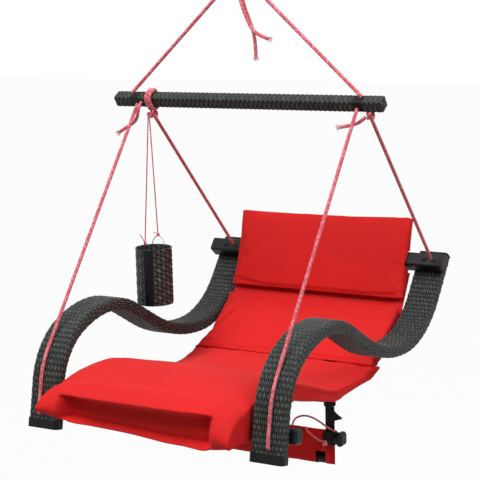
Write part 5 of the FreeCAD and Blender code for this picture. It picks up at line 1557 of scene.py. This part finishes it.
@dataclass
class Footrest:
    """The stowed footrest: bar, cloth, dowel, straps and its cord."""

    bar: tuple[float, float] = (-0.0253, -1.27207)
    pivot_z: float = -1.19207
    loop_radius: float = 0.0183
    reach: float = 0.051
    half_width: float = 0.255
    columns: int = 72
    row_step: float = 0.005
    wrinkle: float = 0.0012
    wrinkle_level: float = 0.4
    ripples: Point = (22.0, 30.0, 30.0)
    cloth: float = 0.0012
    notch_near: float = 0.212
    notch_far: float = 0.237
    notch_top: float = -1.3040
    hem_band: tuple[float, float] = (0.228, 0.244)
    hem_flat: float = 0.9
    strap_x: float = 0.243
    strap_width: float = 0.024
    strap_ply: float = 0.0019
    strap_edge: float = 0.0085
    strap_columns: int = 9
    ply_share: float = 0.8
    loop_steps: int = 24
    flap_ribs: int = 3
    tab_rise: float = 0.009
    rib_count: int = 12
    rib_pitch: float = 0.004
    tie: float = 0.005
    cord: tuple[Point, ...] = (
        (0.139, -0.030, -1.2534), (0.142, -0.0315, -1.241), (0.153, -0.033, -1.230), (0.168, -0.033, -1.223),
        (0.185, -0.032, -1.222), (0.202, -0.0315, -1.226), (0.218, -0.032, -1.233), (0.233, -0.0335, -1.2405),
        (0.247, -0.034, -1.247), (0.2615, -0.0335, -1.252))
    second_tie: tuple[Point, ...] = (
        (0.1800, -0.0360, -1.2500), (0.1860, -0.0455, -1.2535), (0.1977, -0.0490, -1.2604),
        (0.2198, -0.0500, -1.2729), (0.2390, -0.0500, -1.2802))
    flap: tuple[tuple[Point, Point], ...] = (
        ((0.2465, -0.0285, -1.1960), (0.2545, -0.0285, -1.2300)),
        ((0.2590, -0.0300, -1.2020), (0.2590, -0.0300, -1.2260)),
        ((0.2690, -0.0315, -1.2090), (0.2680, -0.0315, -1.2220)),
        ((0.2800, -0.0320, -1.2150), (0.2790, -0.0320, -1.2185)))

    def build_panel(self) -> None:
        """The cloth looped over bar and dowel, cut back at the straps and over the dowel's ends."""
        radius = self.loop_radius
        ring = []
        half = self.columns // 2
        for index in range(half):
            turn = math.pi * index / half
            ring.append((radius * math.cos(turn), radius * math.sin(turn)))
        for index in range(half):
            turn = math.pi + math.pi * index / half
            ring.append((radius * math.cos(turn), radius * math.sin(turn) - self.reach))
        ring = np.array(ring)
        closed = np.vstack([ring, ring[:1]])
        travel = travelled(closed)
        marks = np.linspace(0.0, travel[-1], self.columns + 1)[:-1]
        ring = np.stack([np.interp(marks, travel, closed[:, axis]) for axis in range(2)], -1)
        outs = ring - np.array((0.0, -self.reach / 2))
        outs /= np.linalg.norm(outs, axis=1)[:, None]
        across = np.linspace(-self.half_width, self.half_width, int(2 * self.half_width / self.row_step) + 1)
        along, aside, down = self.ripples
        ripple = np.array([[noise.noise(Vector((x * along, y * aside, z * down))) for y, z in ring]
                           for x in across])
        flat = ring[None] + outs[None] * (self.wrinkle * (ripple - self.wrinkle_level))[:, :, None]
        below = ease(-flat[:, :, 1], self.loop_radius / 2, self.loop_radius)
        flat[:, :, 0] *= 1 - self.hem_flat * ease(np.abs(across), *self.hem_band)[:, None] * below
        flat = flat + np.array(self.bar)
        rows = np.concatenate([np.repeat(across[:, None, None], self.columns, 1), flat], -1)
        strands = np.zeros((len(across), self.columns + 1, 2))
        piece = surface_grid("footrest_cloth", rows, strands, closed=True)
        self.cut_back(piece)
        thicken(piece, self.cloth, -1.0)
        smooth_shading(piece, SOFT_EDGE)
        dress(piece, RED_CLOTH, Body.FOOTREST, Slot.CLOTH, "footrest_panel")

    def cut_back(self, piece: bpy.types.Object) -> None:
        """Deletes the cloth's faces at the straps and over the dowel's ends."""
        only(piece)
        bpy.ops.object.mode_set(mode="EDIT")
        bpy.ops.mesh.select_mode(type="FACE")
        bpy.ops.mesh.select_all(action="DESELECT")
        bpy.ops.object.mode_set(mode="OBJECT")
        inner = self.strap_x - self.strap_width / 2 - self.row_step / 2
        low = self.bar[1] - self.loop_radius
        for face in piece.data.polygons:
            x, z = abs(face.center.x), face.center.z
            at_strap = x > inner and z > low
            in_front = face.center.y < self.bar[0]
            at_dowel = self.notch_near < x < self.notch_far and z < self.notch_top and in_front
            face.select = at_strap or at_dowel
        bpy.ops.object.mode_set(mode="EDIT")
        bpy.ops.mesh.delete(type="FACE")
        bpy.ops.object.mode_set(mode="OBJECT")

    def strip(self, name: str, line: np.ndarray, x: float) -> bpy.types.Object:
        """A webbing strip across X along a line in (Y, Z).

        Args:
            name: The strip's name.
            line: The line that it follows.
            x: The strip's middle.

        Returns:
            The strip.
        """
        across = np.linspace(-0.5, 0.5, self.strap_columns)
        travel = travelled(line)
        rows = np.zeros((len(line), len(across), 3))
        rows[:, :, 0] = x + self.strap_width * across[None, :]
        rows[:, :, 1:] = line[:, None, :]
        strands = np.zeros((len(line), len(across), 2))
        strands[:, :, 0] = self.rib_count * (across[None, :] + 0.5)
        strands[:, :, 1] = (travel / self.rib_pitch)[:, None]
        piece = surface_grid(name, rows, strands, closed=False)
        thicken(piece, self.strap_ply * self.ply_share, 0.0)
        smooth_shading(piece, WEBBING_EDGE)
        return piece

    def build_straps(self) -> None:
        """Two webbing loops round the bar, sewn under the sling, the right one with a folded end."""
        y, low = self.bar
        loop = self.loop_radius + self.strap_ply / 2
        half = self.strap_ply / 2
        meet = math.asin(half / loop)
        line = [(y - half, self.pivot_z)]
        for index in range(self.loop_steps + 1):
            turn = math.pi / 2 + meet + (FULL_TURN - 2 * meet) * index / self.loop_steps
            line.append((y + loop * math.cos(turn), low + loop * math.sin(turn)))
        line.append((y + half, self.pivot_z))
        for side in Side:
            x = side.value * self.strap_x
            strap = self.strip(f"footrest_strap_{side.label}_web", np.array(line), x)
            dress(strap, WEBBING, Body.FOOTREST, Slot.WEBBING, f"footrest_strap_{side.label}")
        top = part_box("strap_anchors")[1].z + self.tab_rise
        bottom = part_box("strap_anchors")[0].z
        tabs = []
        for side in Side:
            x = side.value * self.strap_x
            tab = [(y - self.strap_edge, top), (y - self.strap_edge, bottom), (y + self.strap_edge, bottom),
                   (y + self.strap_edge, top)]
            tabs.append(self.strip("strap_tab", np.array(tab), x))
        dress(joined(tabs, "strap_tabs"), WEBBING, Body.CHAIR, Slot.WEBBING, "strap_anchors")

    def build_second_tie(self) -> None:
        """A second cord round the cloth, ending in a knot."""
        Rope("footrest_second_tie", self.second_tie, self.tie, SECOND_TIE_BRAID).build(
            THIN_CORD, Body.FOOTREST, Slot.ROPE, Lay.LOOSE, "knot")
        knot = knot_route(self.second_tie[-1], self.tie, self.tie)
        Rope("footrest_second_knot", knot, self.tie, SECOND_KNOT_BRAID).build(
            THIN_CORD, Body.FOOTREST, Slot.ROPE, None, "knot")

    def build_flap(self) -> None:
        """The right strap's loose pointed end."""
        rows = np.array(self.flap)
        strands = np.zeros((*rows.shape[:2], 2))
        strands[:, 1, 0] = self.rib_count
        strands[:, :, 1] = np.arange(len(rows))[:, None] * self.flap_ribs
        piece = surface_grid("footrest_strap_end", rows, strands, closed=False)
        thicken(piece, self.strap_ply * self.ply_share, 0.0)
        smooth_shading(piece, WEBBING_EDGE)
        dress(piece, WEBBING, Body.FOOTREST, Slot.WEBBING)

    def build_cord(self) -> None:
        """The cord that ties the rolled footrest."""
        Rope("footrest_tie", self.cord, self.tie, TIE_BRAID).build(
            THIN_CORD, Body.FOOTREST, Slot.ROPE, Lay.LOOSE, "object", "footrest_cord")

    def build(self) -> None:
        """Builds the footrest and finishes its rods."""
        paint_nodes(BLACK_WOOD, "footrest_bar", "footrest_dowel")
        paint_nodes(BLACK_PLASTIC, "footrest_cap_left", "footrest_cap_right")
        self.build_panel()
        self.build_straps()
        self.build_flap()
        self.build_cord()
        self.build_second_tie()


@dataclass
class DrinkHolder:
    """The woven cup, its wire arch, its cords and knots."""

    axis: tuple[float, float] = (-0.2873, 0.0102)
    rim_z: float = -0.8345
    foot_z: float = -0.98308
    radius: float = 0.0488
    wall: float = 0.0036
    columns: int = 120
    row_step: float = 0.0022
    stakes: int = 22
    weaver: float = 0.012
    weaver_lean: float = 0.5
    relief: float = 0.0024
    relief_level: float = 0.45
    rim_start: float = 0.2
    rim_rows: int = 6
    inner_rows: int = 24
    band_turn: float = -75.0
    band_half: float = 17.0
    band_edge: float = 3.0
    hang: Point = (-0.2873, 0.0102, -0.4825)
    arch_top: Point = (-0.2965, 0.0471, -0.8065)
    arch_base: Point = (-0.2965, 0.0471, -0.8385)
    arch_turn: float = 104.0
    arch_half: float = 0.017
    wire: float = 0.0026
    tied: Point = (-0.3275, 0.0302, -0.8305)
    tails: tuple[tuple[str, Point, Point], ...] = (
        ("cup_cord_left_end", (-0.3275, 0.0302, -0.8305), (-0.3400, 0.0252, -0.8055)),
        ("cup_cord_right_end", (-0.2965, 0.0471, -0.8060), (-0.3090, 0.0440, -0.8005)))
    cord: float = 0.0035
    start_drop: float = 0.0061
    aside: tuple[float, float] = (0.00074, 0.00175)
    knot_radius: float = 0.0042
    small_knot: float = 0.0034
    tail_share: float = 0.8

    def build_basket(self) -> None:
        """The cup's woven wall with a rolled rim, its foot, and the plain band down one side."""
        height = self.rim_z - self.foot_z
        outside = [(self.radius, level) for level in np.linspace(0.0, height, int(height / self.row_step))]
        roll = self.wall / 2
        rim = [(self.radius - roll + roll * math.cos(t), height + roll * math.sin(t))
               for t in np.linspace(self.rim_start, math.pi, self.rim_rows)]
        inside = [(self.radius - self.wall, level) for level in np.linspace(height, self.wall, self.inner_rows)]
        profile = np.array(outside + rim + inside)
        turn = np.arange(self.columns + 1) / self.columns
        travel = travelled(profile)
        strands = np.zeros((len(profile), self.columns + 1, 2))
        strands[:, :, 0] = self.stakes * turn[None, :]
        strands[:, :, 1] = (travel / self.weaver)[:, None] + self.weaver_lean * strands[:, :, 0]
        off = (np.degrees(FULL_TURN * turn) - self.band_turn + 180) % 360 - 180
        plain = np.clip((np.abs(off) - self.band_half) / self.band_edge, 0.0, 1.0)
        woven = strand_relief(strands[:, :-1, 0], strands[:, :-1, 1], STRIP_DROP) * plain[None, :-1]
        outer = (np.arange(len(profile)) < len(outside))[:, None]
        lift = np.where(outer, self.relief * (woven - self.relief_level), 0.0)
        angle = FULL_TURN * turn[None, :-1]
        reach = profile[:, 0][:, None] + lift
        level = np.repeat(profile[:, 1][:, None], self.columns, 1)
        rows = np.stack([self.axis[0] + reach * np.cos(angle), self.axis[1] + reach * np.sin(angle),
                         self.foot_z + level], -1)
        strands = np.where(plain[None, :, None] > 0, strands, 0.0)
        piece = surface_grid("cup_weave", rows, strands, closed=True)
        outward(piece)
        smooth_shading(piece, SOFT_EDGE)
        dress(piece, WICKER, Body.CUP, Slot.WICKER, "cup_basket")

    def build_cords(self) -> None:
        """The two thin cords, the knot that they hang from and the knots that tie them."""
        x, y, z = self.hang
        start = z - self.start_drop
        ends = ((1, "cup_cord_right", self.arch_top), (-1, "cup_cord_left", self.tied))
        for way, node, end in ends:
            top = (x + way * self.aside[0], y + way * self.aside[1], start)
            Rope(f"{node}_braid", straight(top, end), self.cord, CUP_CORD_BRAID).build(
                THIN_CORD, Body.CUP, Slot.CUP_CORD, Lay.TAUT, "knot", node)
            knot = knot_route(end, self.small_knot, self.small_knot)
            Rope(f"{node}_tie", knot, self.cord, CUP_TIE_BRAID).build(
                THIN_CORD, Body.CUP, Slot.CUP_CORD, None, "knot")
        knot = knot_route(self.hang, self.knot_radius, self.knot_radius)
        Rope("cup_top_knot", knot, self.cord, CUP_KNOT_BRAID).build(
            THIN_CORD, Body.CUP, Slot.CUP_CORD, None, "knot", "cup_knot")

    def build_arch(self) -> None:
        """The wire arch that stands on the rim."""
        count = 16
        x, y, z = self.arch_base
        turn = math.radians(self.arch_turn)
        height = self.arch_top[2] - z - self.wire
        route = []
        for index in range(count + 1):
            sweep = math.pi * index / count
            side = self.arch_half * math.cos(sweep)
            route.append((x - side * math.sin(turn), y + side * math.cos(turn), z + height * math.sin(sweep)))
        wire = Rope("cup_arch_wire", route, self.wire, PLAIN_WIRE)
        dress(wire.tube(wire.line()), BRIGHT_WIRE, Body.CUP, Slot.STEEL, "cup_arch")

    def build_tails(self) -> None:
        """The cut ends that stand off the two ties."""
        for name, start, end in self.tails:
            bent = tuple((a + b) / 2 + self.small_knot / 2 for a, b in zip(start, end))
            tail = Rope(name, [start, bent, end], self.cord * self.tail_share, CUP_TIE_BRAID)
            dress(tail.tube(tail.line()), THIN_CORD, Body.CUP, Slot.CUP_CORD)

    def build(self) -> None:
        """Builds the cup and finishes its floor."""
        paint_nodes(BLACK_PLASTIC, "cup_floor")
        self.build_basket()
        self.build_arch()
        self.build_cords()
        self.build_tails()


@dataclass
class Studio:
    """Floor, light and camera."""

    camera_at: Point = (1.8496, -3.1802, -0.1445)
    azimuth: float = 30.409
    elevation: float = 10.0
    roll: float = -1.523
    lens: float = 110.897
    sensor: float = 36.0
    floor_z: float = -1.95
    floor_size: float = 40.0
    floor_colour: Colour = (0.45, 0.45, 0.45)
    floor_white: float = 0.97
    floor_roughness: float = 0.5
    sky: float = 0.15
    lamps: tuple[tuple[str, Point, Point, float, float], ...] = (
        ("key", (-0.5, -2.3, 2.5), (0.0, -0.1, -1.0), 1.6, 152.0),
        ("fill", (3.2, -0.6, 1.2), (0.0, 0.0, -0.95), 2.2, 58.0),
        ("back", (0.6, 2.6, 2.4), (0.0, 0.1, -0.9), 1.8, 40.0))

    def backdrop(self, board: NodeBoard, lit: bpy.types.NodeSocket, white: bpy.types.NodeSocket,
                 share: float) -> bpy.types.NodeSocket:
        """White to the camera and in reflections, and lit as usual elsewhere.

        Args:
            board: The node tree.
            lit: The shader that light sees.
            white: The shader that the camera and reflections see.
            share: How much of it they see.

        Returns:
            The mixed shader.
        """
        path = board.add("ShaderNodeLightPath")
        seen = board.math("MAXIMUM", path.outputs["Is Camera Ray"], path.outputs["Is Glossy Ray"])
        seen = board.math("MAXIMUM", seen, path.outputs["Is Transmission Ray"])
        mix = board.add("ShaderNodeMixShader")
        board.tree.links.new(board.math("MULTIPLY", seen, share), mix.inputs[0])
        board.tree.links.new(lit, mix.inputs[1])
        board.tree.links.new(white, mix.inputs[2])
        return mix.outputs[0]

    def build_world(self) -> None:
        """Even light from all round."""
        world = bpy.data.worlds.new("studio")
        world.use_nodes = True
        bpy.context.scene.world = world
        board = NodeBoard(world.node_tree)
        lit = board.feed(board.add("ShaderNodeBackground"), Strength=self.sky)
        white = board.feed(board.add("ShaderNodeBackground"), Strength=1.0)
        for node in (lit, white):
            node.inputs["Color"].default_value = (1, 1, 1, 1)
        output = board.add("ShaderNodeOutputWorld")
        mixed = self.backdrop(board, lit.outputs[0], white.outputs[0], 1.0)
        board.tree.links.new(mixed, output.inputs["Surface"])

    def build_floor(self) -> None:
        """A pale floor well below the hanging chair."""
        deselect()
        bpy.ops.mesh.primitive_plane_add(size=self.floor_size, location=(0, 0, self.floor_z))
        floor = bpy.context.active_object
        floor.name = "floor"
        material = bpy.data.materials.new("pale_floor")
        material.use_nodes = True
        board = NodeBoard(material.node_tree)
        matt = board.feed(board.add("ShaderNodeBsdfDiffuse"), Roughness=self.floor_roughness)
        matt.inputs["Color"].default_value = (*self.floor_colour, 1)
        glow = board.feed(board.add("ShaderNodeEmission"), Strength=1.0)
        glow.inputs["Color"].default_value = (1, 1, 1, 1)
        output = board.add("ShaderNodeOutputMaterial")
        mixed = self.backdrop(board, matt.outputs[0], glow.outputs[0], self.floor_white)
        board.tree.links.new(mixed, output.inputs["Surface"])
        floor.data.materials.append(material)

    def build_lamps(self) -> None:
        """Large soft lamps round the chair."""
        for name, place, aim, size, power in self.lamps:
            lamp = bpy.data.lights.new(name, "AREA")
            lamp.size = size
            lamp.energy = power
            holder = bpy.data.objects.new(name, lamp)
            holder.location = place
            holder.rotation_euler = (Vector(aim) - Vector(place)).to_track_quat("-Z", "Y").to_euler()
            bpy.context.scene.collection.objects.link(holder)

    def build_camera(self) -> None:
        """The camera at the photo's place and tilt."""
        a = math.radians(self.azimuth)
        e = math.radians(self.elevation)
        r = math.radians(self.roll)
        ahead = Vector((-math.sin(a) * math.cos(e), math.cos(a) * math.cos(e), -math.sin(e)))
        right = Vector((math.cos(a), math.sin(a), 0.0))
        up = right.cross(ahead)
        rolled_right = right * math.cos(r) + up * math.sin(r)
        rolled_up = up * math.cos(r) - right * math.sin(r)
        turn = Matrix((rolled_right, rolled_up, -ahead)).transposed().to_4x4()
        data = bpy.data.cameras.new("camera")
        data.sensor_width = self.sensor
        data.lens = self.lens
        camera = bpy.data.objects.new("camera", data)
        camera.matrix_world = Matrix.Translation(self.camera_at) @ turn
        bpy.context.scene.collection.objects.link(camera)
        bpy.context.scene.camera = camera

    def build(self) -> None:
        """Sets the scene."""
        bpy.context.scene.view_settings.view_transform = "Standard"
        self.build_world()
        self.build_floor()
        self.build_lamps()
        self.build_camera()


def main() -> None:
    """Builds the lounger's sub-assemblies in order."""
    logging.basicConfig(level=logging.INFO, format="%(name)s: %(message)s")
    assemblies: tuple[Callable, ...] = (Studio, HangingGear, Spreader, Suspension, Arms, CrossBars,
                                        Cushions, Footrest, DrinkHolder)
    for assembly in assemblies:
        assembly().build()
        LOG.info("%s built", assembly.__name__)
    deselect()


if __name__ == "__main__":
    main()
